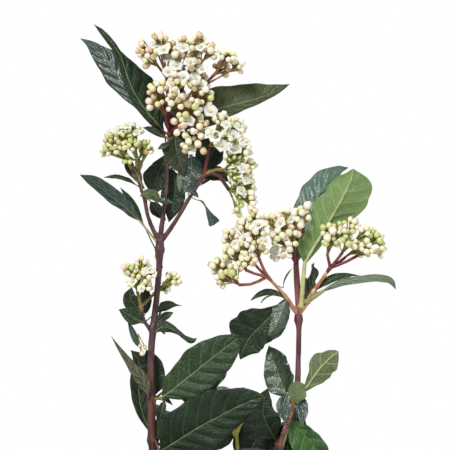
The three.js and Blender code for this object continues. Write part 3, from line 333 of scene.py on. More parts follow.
        plain("c", (-2, 10, 32), (32, 10, 60), 34, (-0.6, -0.8, 0.3), fold=14, arch=0.04, fine=shaped(
            [(3, 1, 9.6), (5.4, 3, 19.2), (8.4, 5, 28.8), (12, 8, 37.8), (16.2, 10, 45.6), (21.6, 13, 52.8),
            (27.6, 16, 58.2), (34, 18, 60)], [3, 6, 9.6, 10.8, 12, 9.6, 4], [4, 5, 6, 6, 5, 5, 3],
            foot=(45, 10, 284.4), face=(-0.2, -0.91, 0.36), fold=-4, wave=1.2, relief=1.6)),
        plain("d", (2, 9, 12), (10, 42, 20), 22, UP, fine=dict(face=EDGE_ON, arch=0.02)),
    ]),
    "leaves_right_west": dict(twig=[(37.8, -3.6, 267.8), (33.6, -4, 272.5), (29.6, -4.5, 276.8)], leaves=[
        plain("d", (-3, -1, -2), (-14, -3, -4), 9, VIEWER_UP, at=0.5, arch=0.16, fine=shaped(
            [(-4.8, 0, 2.4), (-9.6, 0, 3), (-15, -1, 1.2), (-19.8, -1, -2.1)], [2, 2.4, 1.6], [2.1, 2.2, 1.8],
            foot=(37.8, -5, 265.8), face=(0, -0.8, 0.5))),
        plain("o", (-3, -3, -2), (-9, -2, -5), 3, UP, at=0.2),
        plain("s", (-1, -4, -4), (-8, -4, -20), 15, at=0.3, fold=22, fine=shaped(
            [(-1.8, -1.5, -5.4), (-4.2, -3.2, -10.8), (-7.2, -5, -16.2), (-11.4, -7, -21)], [5, 6, 4.6],
            [6, 5.7, 3.6], foot=(39.6, -8, 264.6), face=(0, -1, 0.05), fold=-24)),
        plain("d", (0, 5, -9), (-27, 2, -31), 28, at=0.3, sweep=0.12, fold=8, fine=shaped(
            [(-4.2, 0, -6), (-9, 0, -11.4), (-13.8, 0, -16.2), (-18, 1, -21), (-21, 1, -26.4),
            (-23.4, 1, -33.6)], [11, 11.4, 10.8, 10, 8], [6, 12, 15, 15, 5], root=(39.6, -0.5, 264.6),
            foot=(35.4, 1, 261.6), face=(0.15, -0.95, 0.15), fold=6, wave=1.6)),
        plain("p", (-1, 6, 4), (-6, 42, 22), 20, UP, at=0.6, fine=shaped(
            [(1.2, 5), (3.4, 9), (6, 12)], [0.5, 0.5], foot=(37.8, 4, 271.2), face=VIEWER)),
    ]),
    "leaves_right_east": dict(twig=[(56.8, -3.6, 270.4), (61, -4, 276.4), (64.8, -4.5, 282)], leaves=[
        plain("b", (5, -4, -2), (40, -6, 0), 17, (0.1, 0.3, 1), at=0.3, arch=0.18, fold=10, fine=shaped(
            [(6.6, 0, 3.6), (13.8, 0, 6), (21, -1, 7.5), (28.2, -2, 8.7), (35.4, -3, 8.7), (41.4, -4, 6.9),
            (44.4, -4, 1.8)], [1.8, 2.3, 2.5, 2.6, 2.7, 2], root=(51.6, -4.5, 263), foot=(60, -8, 268.8),
            girth=2.2, face=(0, 0.8, -0.5))),
        plain("d", (3, 4, 1), (21, 4, 4), 13, VIEWER_UP, at=0.35, arch=0.16, fine=shaped(
            [(4.8, 4.2), (10.2, 6.9), (16.2, 8.7), (21, 9), (25.8, 8.7)], [2.4, 2.8, 2, 1],
            root=(51.6, -2, 263.4), foot=(57.6, -3, 270), face=(0, -0.8, 0.6))),
        plain("d", (-2, -1, 3), (-4, -2, 11), 6, at=0.1, fine=shaped(
            [(0.6, 4.2), (1.8, 8.4), (0.6, 12)], [2, 1.8], [1.8, 2.2], foot=(55.2, -1, 272.4))),
        plain("d", (-2.6, 1.6, 2), (0, 1, 8), 6, at=0.05, fine=shaped(
            [(-0.6, 3.6), (-0.6, 6.6), (-0.6, 9.6)], [2.1, 1.9], foot=(52.2, -2, 268.2))),
        plain("m", (4, 4, 0), (26, 36, 0), 18, UP, at=0.7, fine=dict(stalk=(4, 4, -3), arch=0.02, fold=4)),
    ]),
    "leaves_back": dict(twig=[(-15, 33.1, 176.4), (-13, 35, 190), (-9, 36, 202)], leaves=[
        plain("m", (-5, 5, 2), (-32, 24, 6), 22, UP, at=0.1),
        plain("d", (5, 5, 2), (34, 22, 3), 22, UP, at=0.1),
        plain("m", (1, 6, 3), (6, 40, 14), 22, UP, at=0.9),
        plain("d", (-2, 6, 1), (-20, 34, 14), 20, UP, at=0.6),
        plain("d", (4, 5, 2), (24, 28, 16), 20, UP, at=0.75, fine=dict(reach=(24, 28, 4))),
    ]),
}
# What a small blade is unless it says otherwise
SMALL_BLADE = dict(tone="d", face=VIEWER)

BUD_COLOURS = ("ivory", "blush", "cream", "green", "tan")
# Bud widths, how long a bud is for its width, how far out the pedicels part (a share of the way to their
# knot), the bare pedicels in each knot, the share of the buds that grow, and how thick the rays are
HABIT = dict(sizes=(3.2, 4.5), long=1.0, part=None, stubs=9, share=1.0, girth=1.0)
# What each head stands on, the colours of its rays, forks and pedicels, the shares of the bud colours, its
# habit, its rays, the places of its open flowers with their widths, and single buds that stand out, with
# width and colour. A ray may bow, be coloured or bear buds in its own way, and its bare knots show small
# green buds only.
FLOWER_HEADS = {
    "blossom_left_top": dict(
        on="leaves_left_top", colours=("ray_red", "ray_rust", "pedicel_rose"), mix=(3.6, 2.6, 4, 1, 3.2),
        sizes=(2.9, 4.4), girth=1.1,
        rays=[
            spoke((-2, -4, 32), (-14, -6, 49, 5.5), (-7, -8, 53, 5), (0, -5, 48, 5), (-11, -10, 43, 4.6),
                (-4, 4, 50, 5)),
            spoke((8, -6, 27), (9, -8, 51, 5), (17, -6, 52, 5.4), (24, -5, 47, 4.6), (5, -12, 41, 5.2),
                (14, -10, 38, 5), (14, 5, 46, 5.2)),
            spoke((20, -4, 27), (34, -5, 43, 5.2), (40, -5, 38, 4), (31, 3, 38, 4.4)),
            spoke((-3, -8, 10), (-7, -13, 24, 5), (-8, -12, 16, 4.4), (4, -17, 28, 5.4), (4, -18, 16, 5.4)),
            spoke((9, -9, 6), (16, -14, 25, 5.2), (13, -18, 13, 5.4), (21, -13, 19, 4.6), (8, -18, 4, 5),
                (17, -15, 3, 5), (12, -13, -8, 4.4)),
            spoke((8, 4, 16), (4, 12, 34, 5.2), (17, 9, 32, 5.2), (10, 13, 20, 5)),
        ],
        flowers=[
            (-4, -12, 48.6, 9.5), (-9, -8, 52, 8), (-1, -9, 44, 8), (8, -12, 49.8, 9), (18, -9, 50.4, 8.5),
            (4, -14, 39, 9), (12, -13, 41, 8.5), (8, -17, 31.8, 9), (15, -15, 31, 8.5), (1, -16, 28, 8),
            (12, -20, 5.4, 7), (19, -12, 37, 8), (-1, -14, 35, 7.5), (19, -14, 27, 7.5), (24.6, -16, 12, 10),
            (-9, 6, 50, 9), (14, 8, 48, 9), (6, 15, 36, 9), (20, 13, 28, 8.5),
        ],
        lone_buds=[
            (4.8, -17, -1.2, 4, "ivory"), (9.6, -18, -3, 4.2, "cream"), (13.8, -18, -0.6, 4, "ivory"),
            (18.6, -17, -3.6, 4.2, "blush"), (22.8, -16, -0.6, 4, "cream"), (11.4, -19, -6.6, 4, "ivory"),
            (16.8, -18, -8, 4.2, "cream"), (19.8, -17, -12, 4, "tan"), (7.2, -18, 2, 4, "tan"),
        ],
    ),
    "blossom_left_east": dict(
        on="leaves_left_east", colours=("ray_red", "ray_olive", "pedicel_green"), mix=(6, 0.3, 4, 3.4, 0.2),
        sizes=(2.5, 4.0), long=1.12, part=0.35, stubs=14, girth=1.2,
        rays=[
            spoke((3, -3, 17), (11, -8, 31, 5), (20, -6, 28, 5), (7, -12, 22, 4.4), (16, -11, 20, 5)),
            spoke((12, -3, 3), (23, -6, 14, 5), (17, -9, 9, 4.8), (25, -4, 4, 5), (18, -8, -1, 4.4),
                (20, 6, 10, 4.8), bow=0.12, colour="ray_olive", share=0.8, bare=(1, 3)),
            spoke((15, -2, -9), (26, -3, -7, 4.4), (21, -5, -12, 4), (27, -2, -16, 3.8), (20, -2, -21, 3.2),
                (19, 5, -6, 4.2), bow=0.3, colour="ray_dusk", share=0.8, bare=(1, 4)),
        ],
        flowers=[
            (6.6, -14, 22.8, 9), (10.5, -14, 17.4, 8.5), (17, -12, 24, 8), (21, -9, 29, 7.5),
            (19, -12, 15.5, 8), (13, -13, 30, 7), (25, -9, 20, 7), (23.4, -11, 4, 7.5), (25, -9, -3, 6.5),
            (22, -9, -9, 6.5), (22, 9, 12, 7),
        ],
    ),
    "blossom_left_west": dict(
        on="leaves_left_west", colours=("ray_olive", "ray_green", "pedicel_green"), mix=(0.6, 0.2, 2.4, 6, 1),
        sizes=(2.0, 2.9), long=1.5, part=0.04, stubs=24, share=0.6,
        rays=[
            spoke((-6, -4, 9), (-15, -5, 21, 4.2), (-8, -8, 25, 4.2), (-17, -6, 15, 3.4), (-9, -11, 16, 4)),
            spoke((0, -4, 9), (-2, -5, 26, 4.2), (-3, -9, 18, 4), (-5, -8, 10, 2.8)),
            spoke((3, -3, 7), (7, -4, 15, 3), (6, -3, 19, 2.7)),
            spoke((1, 4, 10), (-5, 8, 21, 4.4), (4, 7, 17, 3.8)),
        ],
        flowers=[
            (-10.8, -9, 27.6, 8.5), (-16, -6, 25.8, 7.5), (-5.4, -8, 30, 7), (0, -8, 26, 6.5),
            (-6, 10, 24, 8),
        ],
    ),
    "blossom_left_low": dict(
        on="leaves_left_middle", colours=("ray_olive", "ray_green", "pedicel_green"),
        mix=(4, 1.6, 3, 2.4, 0.8), sizes=(2.3, 3.4), long=1.15, part=0.2, share=0.85,
        rays=[
            spoke((-2, -3, 9), (-6, -5, 21, 4.4), (1, -6, 25, 4.4), (5, -7, 20, 4), (-3, -9, 15, 4),
                (3, -8, 13, 3.4)),
            spoke((8, 10, 8), (19, 9, 16, 4), (14, 12, 11, 3.4)),
            spoke((-2, 2, 9), (-4, 5, 20, 4.2)),
        ],
        flowers=[(5.4, -9, 22.8, 7.5), (-4.8, -11, 15.6, 6.5), (0.6, -11, 11.4, 5.5)],
    ),
    "blossom_right_west": dict(
        on="leaves_right_west", colours=("ray_salmon", "ray_rust", "pedicel_gold"), mix=(5, 0.8, 4.6, 2.4, 1),
        sizes=(2.9, 4.4),
        rays=[
            spoke((-17, -3, -5), (-26, -4, -1, 4.4), (-30, -3, 6, 4.6), (-25, 3, 5, 4.2), (-20, -9, 3, 4.4),
                bow=-0.1, colour="ray_salmon"),
            spoke((-13, -5, 4), (-21, -7, 14, 5), (-22, -3, 23, 4.6), (-13, -11, 20, 5), (-12, -12, 10, 5)),
            spoke((-5, -6, 11), (-14, -6, 30, 4.6), (-5, -12, 28, 5), (-5, -14, 18, 4.8), (-8, -5, 36, 4.2)),
            spoke((-8, 3, 8), (-17, 6, 17, 5), (-8, 8, 24, 5), (-13, 9, 9, 4.6)),
        ],
        flowers=[
            (-6, -13, 31.8, 9), (-1.8, -17, 22.2, 8.5), (-14.4, -13, 23.4, 8), (-18, -6, 30, 7),
            (-20, -9, 20, 7), (-12, 11, 24, 8.5), (-24, 4, 8, 8),
        ],
    ),
    "blossom_right_mid": dict(
        on="bough_right_mid", colours=("ray_red", "ray_rust", "pedicel_gold"), mix=(6.5, 1.4, 3.4, 1.2, 0.7),
        rays=[
            spoke((-6, -5, 9), (-15, -7, 25, 5), (-12, -12, 15, 4.8), (-11, -9, 6, 4), (-7, -7, 28, 4.6)),
            spoke((-2, -6, 12), (-1, -8, 24, 4.2), (-4, -12, 16, 4.6), (-4, -11, 8, 3.4), (2, -6, 30, 3.4)),
            spoke((4, -6, 22), (7, -7, 34, 2.4)),
            spoke((-4, 4, 10), (-10, 8, 22, 5), (-2, 8, 20, 4.6)),
        ],
        flowers=[(-10.8, -12, 24.6, 8.5), (-13.2, -14, 7.8, 8.5), (-4, -9, 27, 7), (-8, 11, 24, 8.5)],
        lone_buds=[(6, -7, 33.8, 4.7, "ivory"), (6.6, -8, 27, 3.8, "cream")],
    ),
    "blossom_right_east": dict(
        on="leaves_right_east", colours=("ray_red", "ray_rust", "pedicel_green"), mix=(3, 0.5, 4.6, 4, 0.5),
        sizes=(2.6, 4.2), long=1.08, stubs=6,
        rays=[
            spoke((-2, -3, 8), (0, -5, 16, 4.6), (5, -7, 22, 4.6), (-2, -4, 22, 3.6)),
            spoke((7, -3, 9), (12, -5, 24, 4.6), (10, -9, 16, 4.6), (19, -7, 20, 4.6)),
            spoke((16, -2, 7), (26, -5, 17, 4.6), (29, -4, 10, 3.6), (21, -7, 11, 3.8)),
            spoke((9, 2, 6), (24, 5, 19, 4.6), (17, 5, 11, 4.4)),
        ],
        flowers=[(12, -10, 17, 6), (22, 8, 18, 7)],
        lone_buds=[(1.2, -9, 21.6, 4.9, "ivory"), (-2.4, -9, 17.4, 4.6, "ivory")],
    ),
    "blossom_back": dict(
        on="leaves_back", colours=("ray_red", "ray_rust", "pedicel_rose"), mix=(4, 1.5, 4, 1.5, 0.6),
        rays=[
            spoke((1, 2, 10), (0, 2, 19, 5), (3, 6, 16, 4.6), (3, 12, 19, 5)),
            spoke((-3, 5, 9), (-6, 9, 18, 5), (-9, 15, 17, 4.6), (4, 15, 13, 4.4)),
        ],
        flowers=[(0, -3, 20, 8.5), (7, 10, 22, 8.5), (-8, 14, 20, 8)],
    ),
    "blossom_young": dict(
        on="stem_young", colours=("ray_green", "ray_green", "pedicel_green"), mix=(0, 0, 1, 6, 0.3),
        sizes=(1.8, 2.6),
        rays=[
            spoke((0, 1, 3), (-4, 0, 7, 3), (4, 1, 9, 3.2), (0, 5, 7, 3)),
        ],
    ),
}
# Three buds that hang by themselves below blossom_left_low
HANGING_FOOT = (-49, -3, 244)
HANGING_BUDS = (
    (-46.6, -5, 232.6, 3.1, "cream"), (-47.8, -5, 237, 2.6, "tan"), (-45, -5, 236.2, 2.4, "green"),
)

# Each limb's bark, and the heights between which it has another; the rest are purple, or olive on the shoots
LIMB_BARK = {
    "stem_left": ("bark_purple", (0, 150, "bark_brown"), (150, 222, "bark_russet")),
    "stem_right": ("bark_red", (0, 135, "bark_brown"), (193, 204.5, "bark_tan"), (214, 236, "bark_purple")),
    "stem_back": ("bark_brown",), "stem_young": ("bark_green",), "bough_left_west": ("bark_dusk",),
    "bough_left_east": ("bark_dusk",), "bough_right_mid": ("bark_crimson",),
    "bough_right_west": ("bark_salmon", (268, 279, "bark_tan")),
    "bough_right_east": ("bark_salmon", (263, 279, "bark_tan")), "leaves_right_west": ("bark_salmon",),
    "leaves_right_east": ("bark_salmon",),
}
# Short forks of the young stem's tip
FORKS = (
    [[9.6, 14.5, 180], [7, 14, 184.5], [3.8, 13.5, 187.5]],
    [[9.8, 14.5, 180], [12, 14, 186], [15, 13.5, 190]],
)

# Upper face, veins and lower face of a blade of each tone, and the tones that are glossy. The upper faces of
# b and c are tinted and lightened towards blue: a painted sheen, on top of the real gloss of their shader.
LEAF_TONES = {
    "d": ("#1a2a18", "#4f6b44", "#66795a"), "m": ("#1b3316", "#5b7c46", "#728762"),
    "b": ("#23352d", "#5f7b67", "#5d6b57"), "o": ("#3d4829", "#7e8a58", "#717b55"),
    "p": ("#647548", "#8fa56c", "#6f8b50"), "u": ("#29301f", "#666d48", "#484235"),
    "g": ("#2c5523", "#8fae5c", "#7c9756"), "s": ("#20351e", "#6b8a5c", "#728762"),
    "c": ("#49675a", "#84a08a", "#5d6b57"), "f": ("#3d4829", "#7e8a58", "#5d6844"),
    "r": ("#3a221d", "#5b3a2c", "#49302a"),
}
GLOSSY = "bsc"
GLOSS = dict(roughness=0.3, vein_share=0.32, net=0.22, specular=0.75, grain=0.17)
SATIN = dict(roughness=0.36, vein_share=0.32, net=0.22, specular=0.4)
BACK = dict(vein="#a3b280", roughness=0.56, vein_share=0.5, net=0.25)
RIB = "#67814e"
RIBS_UNDER = {"u": "#675d42", "b": "#7f9379", "other": "#aab27c"}
STALKS = {"d": "#5d362c", "o": "#6b3d33", "u": "#5d4a35", "p": "#b6b37c", "b": "#8f8c50", "other": "#76833f"}
# Each bark's ground and streaks
BARKS = {
    "bark_purple": ("#3b2227", "#634045"), "bark_russet": ("#45261f", "#6e4336"),
    "bark_brown": ("#54402f", "#84694f"), "bark_red": ("#54242a", "#804646"),
    "bark_salmon": ("#9b5646", "#cda078"), "bark_green": ("#9a9440", "#ccc066"),
    "bark_olive": ("#5c5438", "#837a50"), "bark_dusk": ("#3c2221", "#643f3a"),
    "bark_tan": ("#a5764c", "#cdb98a"), "bark_crimson": ("#6f2f37", "#9c5757"),
}
# Rays, pedicels and the flowers' parts: colour, roughness and how far the colour spreads
FLOWER_PLAINS = {
    "ray_red": ("#6f2d2f", 0.48, 0.25), "ray_salmon": ("#a15b4a", 0.5, 0.22),
    "ray_green": ("#949350", 0.5, 0.18), "ray_rust": ("#8d5033", 0.5, 0.25),
    "ray_olive": ("#83712f", 0.5, 0.25), "ray_dusk": ("#4c2a27", 0.5, 0.25),
    "pedicel_rose": ("#8a6632", 0.5, 0.3), "pedicel_gold": ("#958040", 0.5, 0.3),
    "pedicel_green": ("#858c33", 0.5, 0.25), "calyx": ("#786c30", 0.5, 0.3), "throat": ("#e3e4c0", 0.5, 0.08),
    "stamen": ("#f2f0e2", 0.5, 0.05), "anther": ("#ece2b4", 0.6, 0.1),
}
# Compost: colour, roughness, spread of the colour, scale and depth of the grain, stretch and specular level
SOILS = {
    "soil": ("#2c2019", 0.93, 0.5, 240, 0.9, None, 0.2),
    "soil_damp": ("#1d150f", 0.8, 0.4, 320, 0.7, None, 0.3),
    "chip": ("#5b3d27", 0.85, 0.35, 260, 0.5, (1.0, 1.0, 0.3), 0.25),
    "perlite": ("#d9d5c8", 0.9, 0.1, 500, 0.4, None, 0.3),
}
# Each bud's body, foot and tip
BUDS = {
    "bud_ivory": ("#f3ecd9", "#b7b05a", "#e6d2b4"), "bud_blush": ("#edddca", "#b09d58", "#cd9f80"),
    "bud_cream": ("#e9e3bd", "#a2a346", "#dbcd98"), "bud_green": ("#ccd391", "#8a9538", "#c4bd78"),
    "bud_tan": ("#d6c298", "#8f8342", "#a37c55"),
}

# Every material by its name
MATERIALS = {}


# Shapes

def unit(vector):
    vector = np.asarray(vector, float)
    return vector / max(np.linalg.norm(vector), 1e-12)


def curve(line, share):
    """A point and the tangent of the smooth curve through a line of points."""
    points = np.asarray(line, float)
    last = len(points) - 1
    place = min(max(share, 0.0), 1.0) * last
    i = min(int(place), last - 1)
    w = place - i
    before = points[i - 1] if i > 0 else 2 * points[0] - points[1]
    after = points[i + 2] if i + 2 <= last else 2 * points[last] - points[last - 1]
    a, b = points[i], points[i + 1]
    t0, t1 = 0.5 * (b - before), 0.5 * (after - a)
    c2, c3 = -3 * a + 3 * b - 2 * t0 - t1, 2 * a - 2 * b + t0 + t1
    return a + t0 * w + c2 * w * w + c3 * w ** 3, unit(t0 + 2 * c2 * w + 3 * c3 * w * w)


def mixed(values, share):
    return float(np.interp(share, np.linspace(0, 1, len(values)), values))


def any_turn(draw):
    return draw.uniform(0, 6.28)


def around(sides, spin=0.0):
    """The cosine and sine of each side's bearing round a ring."""
    for k in range(sides):
        turn = TURN * k / sides + spin
        yield math.cos(turn), math.sin(turn)


def band(low, high, sides):
    """The faces between two rings of vertices, which start at low and high."""
    return [(low + k, low + (k + 1) % sides, high + (k + 1) % sides, high + k) for k in range(sides)]


def fan(tip, ring, sides):
    """The faces between one vertex and the ring that follows it."""
    return [(tip, ring + (k + 1) % sides, ring + k) for k in range(sides)]


def flipped(faces):
    return [face[:1] + face[:0:-1] for face in faces]


def capped_faces(rings, sides):
    """The faces of a closed form of one vertex, rings and one vertex."""
    faces = fan(0, 1, sides)
    for r in range(rings - 1):
        faces += band(1 + r * sides, 1 + (r + 1) * sides, sides)
    return faces + flipped(fan(1 + rings * sides, 1 + (rings - 1) * sides, sides))


class Skin:
    """Collects faces, each with its material slot, into one mesh object."""

    def __init__(self):
        self.verts, self.faces, self.slots, self.uvs, self.count = [], [], [], [], 0

    def add(self, verts, faces, slot, uvs=None):
        verts = np.asarray(verts, float)
        self.verts.append(verts)
        self.uvs.append(np.zeros((len(verts), 2)) if uvs is None else np.asarray(uvs, float))
        self.faces.extend([tuple(i + self.count for i in face) for face in faces])
        self.slots.extend(slot if isinstance(slot, list) else [slot] * len(faces))
        self.count += len(verts)

    def build(self, name, record_slot, nodes, smooth=True):
        mesh = bpy.data.meshes.new(name)
        mesh.from_pydata((np.concatenate(self.verts) * MM).tolist(), [], self.faces)
        set_slots(mesh, self.slots, smooth)
        layer = mesh.uv_layers.new(name="UVMap")
        loops = np.empty(len(mesh.loops), int)
        mesh.loops.foreach_get("vertex_index", loops)
        layer.data.foreach_set("uv", np.concatenate(self.uvs)[loops].ravel())
        mesh.validate()
        mesh.update()
        piece = bpy.data.objects.new(name, mesh)
        bpy.context.collection.objects.link(piece)
        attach(piece, "root")
        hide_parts(*nodes)
        return piece


def set_slots(mesh, slots, smooth=True):
    """Gives each face of a mesh its material, and all of them their shading."""
    used = sorted(set(slots))
    mesh.materials.clear()
    for slot in used:
        mesh.materials.append(MATERIALS[slot])
    mesh.polygons.foreach_set("material_index", [used.index(slot) for slot in slots])
    mesh.polygons.foreach_set("use_smooth", [smooth] * len(slots))


def tube_rings(points, radii, sides):
    """Rings round a line of points, carried along it without a twist."""
    points = np.asarray(points, float)
    tangents = np.gradient(points, axis=0)
    side = np.array([1.0, 0.3, 0.05])
    angles = np.arange(sides) / sides * 2 * math.pi
    rings = []
    for point, tangent, radius in zip(points, tangents, radii):
        tangent = unit(tangent)
        side = unit(side - side.dot(tangent) * tangent)
        up = np.cross(tangent, side)
        rings.append(point + radius * (np.cos(angles)[:, None] * side + np.sin(angles)[:, None] * up))
    return np.concatenate(rings)


def tube_faces(rings, sides):
    faces = []
    for r in range(rings - 1):
        faces += band(r * sides, (r + 1) * sides, sides)
    return faces + [tuple(reversed(range(sides))), tuple(range((rings - 1) * sides, rings * sides))]


def add_tube(skin, points, radii, sides, slot):
    radii = [mixed(radii, i / (len(points) - 1)) for i in range(len(points))]
    skin.add(tube_rings(points, radii, sides), tube_faces(len(points), sides), slot)


def limb_of(name):
    """The line and radii of a stem or bough, or of a mass's twig."""
    return LIMBS.get(name) or dict(line=MASSES[name]["twig"], radii=MASSES[name].get("radii", TWIG_RADII))


# Leaves

def half_width(width, share):
    return 0.5 * width * np.sin(math.pi * share ** 0.82) ** 0.85


def leaf_length(leaf):
    return float(np.linalg.norm(leaf_reach(leaf)))


def leaf_reach(leaf):
    return np.asarray(leaf["line"][-1] if "line" in leaf else leaf["reach"], float)


def half_widths(leaf, shares):
    """Half a blade's width on its left and on its right, by its own outline or the plain one."""
    if "line" not in leaf:
        return [half_width(leaf["width"], shares)] * 2
    return [np.array([max(curve([[w] for w in leaf[side]], s)[0][0], 0.1) for s in shares])
            for side in ("left", "right")]


def blade_frame(leaf, foot, share):
    """The midrib's places at shares of a blade's length, its upward normals and its sides."""
    share = np.atleast_1d(np.asarray(share, float))[:, None]
    reach = leaf_reach(leaf)
    length = np.linalg.norm(reach)
    along = reach / length
    face = np.asarray(leaf["face"], float)
    face = unit(face - face.dot(along) * along)
    side = np.cross(along, face)
    if "line" in leaf:
        found = [curve([(0, 0, 0)] + leaf["line"], s) for s in share[:, 0]]
        centre = foot + np.array([place for place, _ in found])
        tangent = np.array([way for _, way in found])
    else:
        arch, sweep = leaf.get("arch", LEAF["arch"]) * length, leaf.get("sweep", 0) * length
        bulge, slope = 4 * share * (1 - share), 4 * (1 - 2 * share)
        centre = foot + reach * share + face * arch * bulge + side * sweep * bulge
        tangent = reach + face * arch * slope + side * sweep * slope
    tangent /= np.linalg.norm(tangent, axis=1)[:, None]
    normal = face - (tangent @ face)[:, None] * tangent
    normal /= np.linalg.norm(normal, axis=1)[:, None]
    turn = np.radians(leaf.get("twist", 0) * (share - 0.5))
    normal = normal * np.cos(turn) + np.cross(tangent, normal) * np.sin(turn)
    return centre, normal, np.cross(tangent, normal)


def on_stem(name, height):
    """The place on a stem's line at a height, and the stem's radius there."""
    limb, low, high = LIMBS[name], 0.0, 1.0
    for _ in range(30):
        middle = (low + high) / 2
        if curve(limb["line"], middle)[0][2] < height:
            low = middle
        else:
            high = middle
    return curve(limb["line"], low)[0], mixed(limb["radii"], low)


def leaf_root(mass, leaf):
    """Where a leaf's stalk comes out of the wood, and a point inside the wood behind it."""
    if "root" in leaf or "at" in leaf:
        root = np.asarray(leaf["root"], float) if "root" in leaf else curve(mass["twig"], leaf["at"])[0]
        return root, root
    centre, radius = on_stem(*mass["collar"])
    out = unit((leaf["stalk"][0], leaf["stalk"][1], 0))
    return centre + out * (radius + COLLAR_WALL * 0.5), centre + out * radius * 0.3


def leaf_foot(leaf, root):
    return np.asarray(leaf["foot"], float) if "foot" in leaf else root + np.asarray(leaf["stalk"], float)


def columns(length):
    """Places across a blade from edge to edge, the midrib's flanks among them; closer on a long blade."""
    count = 11 if length > BLADE["long"] else 5
    out = [BLADE["flank"]] + list(np.linspace(BLADE["flank"], 0.94, count)[1:]) + [1]
    return np.array([-x for x in reversed(out)] + [0] + out)


def blade_grid(leaf, foot, shares, draw):
    """The places of a fine blade's middle layer, its upward offsets and normals, and each place's veins."""
    length = leaf_length(leaf)
    size = min(length / BLADE["full_length"], BLADE["most_size"])
    centre, normal, side = blade_frame(leaf, foot, shares)
    left, right = half_widths(leaf, shares)
    fold = math.radians(leaf.get("fold", LEAF["fold"]))
    across = columns(length)
    share, cols = shares[:, None], np.repeat(across[None, :], len(shares), 0)
    ridge = leaf.get("rib", 1) * (BLADE["rib"][0] * (1 - shares) + BLADE["rib"][1])
    rib = np.clip(ridge * max(size, 0.5) / ((left + right) / 2), *BLADE["rib_share"])[:, None]
    flank = across != 0
    beyond = (np.abs(across[flank]) - BLADE["flank"]) * (1 - rib) / (1 - BLADE["flank"])
    cols[:, flank] = np.sign(across[flank]) * (rib + beyond)
    a, sign = np.abs(cols), np.sign(cols)
    half = np.where(cols < 0, left[:, None], right[:, None])
    phases = [any_turn(draw) for _ in range(4)]
    swing = np.where(sign < 0, phases[0], phases[1])
    veins = max(4.0, length / BLADE["vein_spacing"])
    count = veins * (share - BLADE["vein_slant"] * a ** 1.3) + 0.2 * sign + phases[2]
    fade = np.clip(1 - a, 0, 1) ** 0.35 * np.sin(math.pi * share) ** 0.4 * np.clip(a / 0.25, 0, 1) ** 0.7
    relief = leaf.get("relief", 1.0) * size
    veined = BLADE["vein_height"] * np.abs(np.sin(math.pi * count)) ** 0.75 - BLADE["vein_floor"]
    offset = relief * fade * veined
    wavy = leaf.get("wave", 1.0)
    waves = 0.085 * np.sin(12.6 * share + swing) + 0.04 * np.sin(31 * share + phases[3] + swing)
    offset += wavy * half * a ** 2 * waves
    offset -= BLADE["edge_droop"] * size * np.clip((a - 0.8) / 0.2, 0, 1) ** 2
    tip = np.clip((share - 0.55) / 0.45, 0, 1)
    curl, hook = draw.uniform(*BLADE["curl"]), draw.uniform(-BLADE["hook"], BLADE["hook"])
    if "line" in leaf:
        curl, hook = 0, 0
    offset += length * tip ** 2 * curl
    ruffle = 1 + wavy * a ** 2 * (0.03 * np.sin(14 * share + swing) + 0.02 * np.sin(37 * share - swing))
    flat = cols * half * math.cos(fold) * ruffle + length * tip ** 2 * hook
    offset += a * half * math.sin(fold)
    in_rib = a < 1.2 * rib
    offset = np.where(in_rib, offset - BLADE["rib_drop"] * size, offset)
    middle = centre[:, None, :] + side[:, None, :] * flat[..., None]
    return middle, offset, normal[:, None, :], count, in_rib, fade, size


def add_leaf(skin, leaf, root, inside, tone, draw):
    """A leaf with sunken veins, a ridged midrib below, wavy edges and its stalk."""
    foot = leaf_foot(leaf, root)
    length = leaf_length(leaf)
    fewest, most = BLADE["stations"]
    stations = int(min(max(length / BLADE["station"], fewest), most))
    shares = np.linspace(0.0, 1.0, stations + 1)[1:-1] ** 0.97
    shares = np.concatenate([[shares[0] * 0.4], shares, [1 - (1 - shares[-1]) * 0.3]])
    middle, offset, normal, count, in_rib, fade, size = blade_grid(leaf, foot, shares, draw)
    thick = LEAF["thickness"] / 2
    top = middle + normal * (offset + thick)[..., None]
    ridge = np.where(in_rib, 0.5 * size * (1 - shares[:, None]) + 0.12, 0.0) + 0.1 * fade
    low = middle + normal * (offset - thick - ridge)[..., None]
    low[:, 0], low[:, -1] = top[:, 0], top[:, -1]
    rows, wide = offset.shape
    flanks = (wide // 2 - 1, wide // 2 + 1)
    first = blade_frame(leaf, foot, [0.0])[0]
    last = top[-1].mean(0, keepdims=True) * 2 - top[-2].mean(0, keepdims=True)
    last = top[-1, flanks].mean(0, keepdims=True) * 0.6 + last * 0.4
    verts = np.concatenate([top.reshape(-1, 3), low.reshape(-1, 3), first, last])
    uv = np.stack([count, np.repeat(columns(length)[None, :] * 0.5 + 0.5, rows, 0)], -1).reshape(-1, 2)
    uvs = np.concatenate([uv, uv, [[0, 0.5], [0, 0.5]]])
    under, start, end = rows * wide, 2 * rows * wide, 2 * rows * wide + 1
    faces, slots = [], []
    for r in range(-1, rows):
        for c in range(wide - 1):
            i = r * wide + c
            if r == -1:
                faces += [(start, c + 1, c), (start, under + c, under + c + 1)]
            elif r == rows - 1:
                faces += [(i, i + 1, end), (under + i + 1, under + i, end)]
            else:
                faces.append((i, i + 1, i + wide + 1, i + wide))
                faces.append((under + i + 1, under + i, under + i + wide, under + i + wide + 1))
            in_middle = c in (flanks[0], flanks[1] - 1)
            slots += [f"rib_{tone}", f"rib_under_{tone}"] if in_middle else [f"leaf_{tone}", f"under_{tone}"]
    skin.add(verts, faces, slots, uvs)
    centre, normal, _ = blade_frame(leaf, foot, [0.06])
    path = [inside, root, foot, centre[0] - normal[0] * 0.5]
    points = [curve(path, s)[0] for s in np.linspace(0, 1, 10)]
    girth = 0.7 * max(min(size, 1.0), 0.5) * leaf.get("girth", 1)
    add_tube(skin, points, [radius * girth for radius in LEAF_STALK], 8, f"stalk_{tone}")


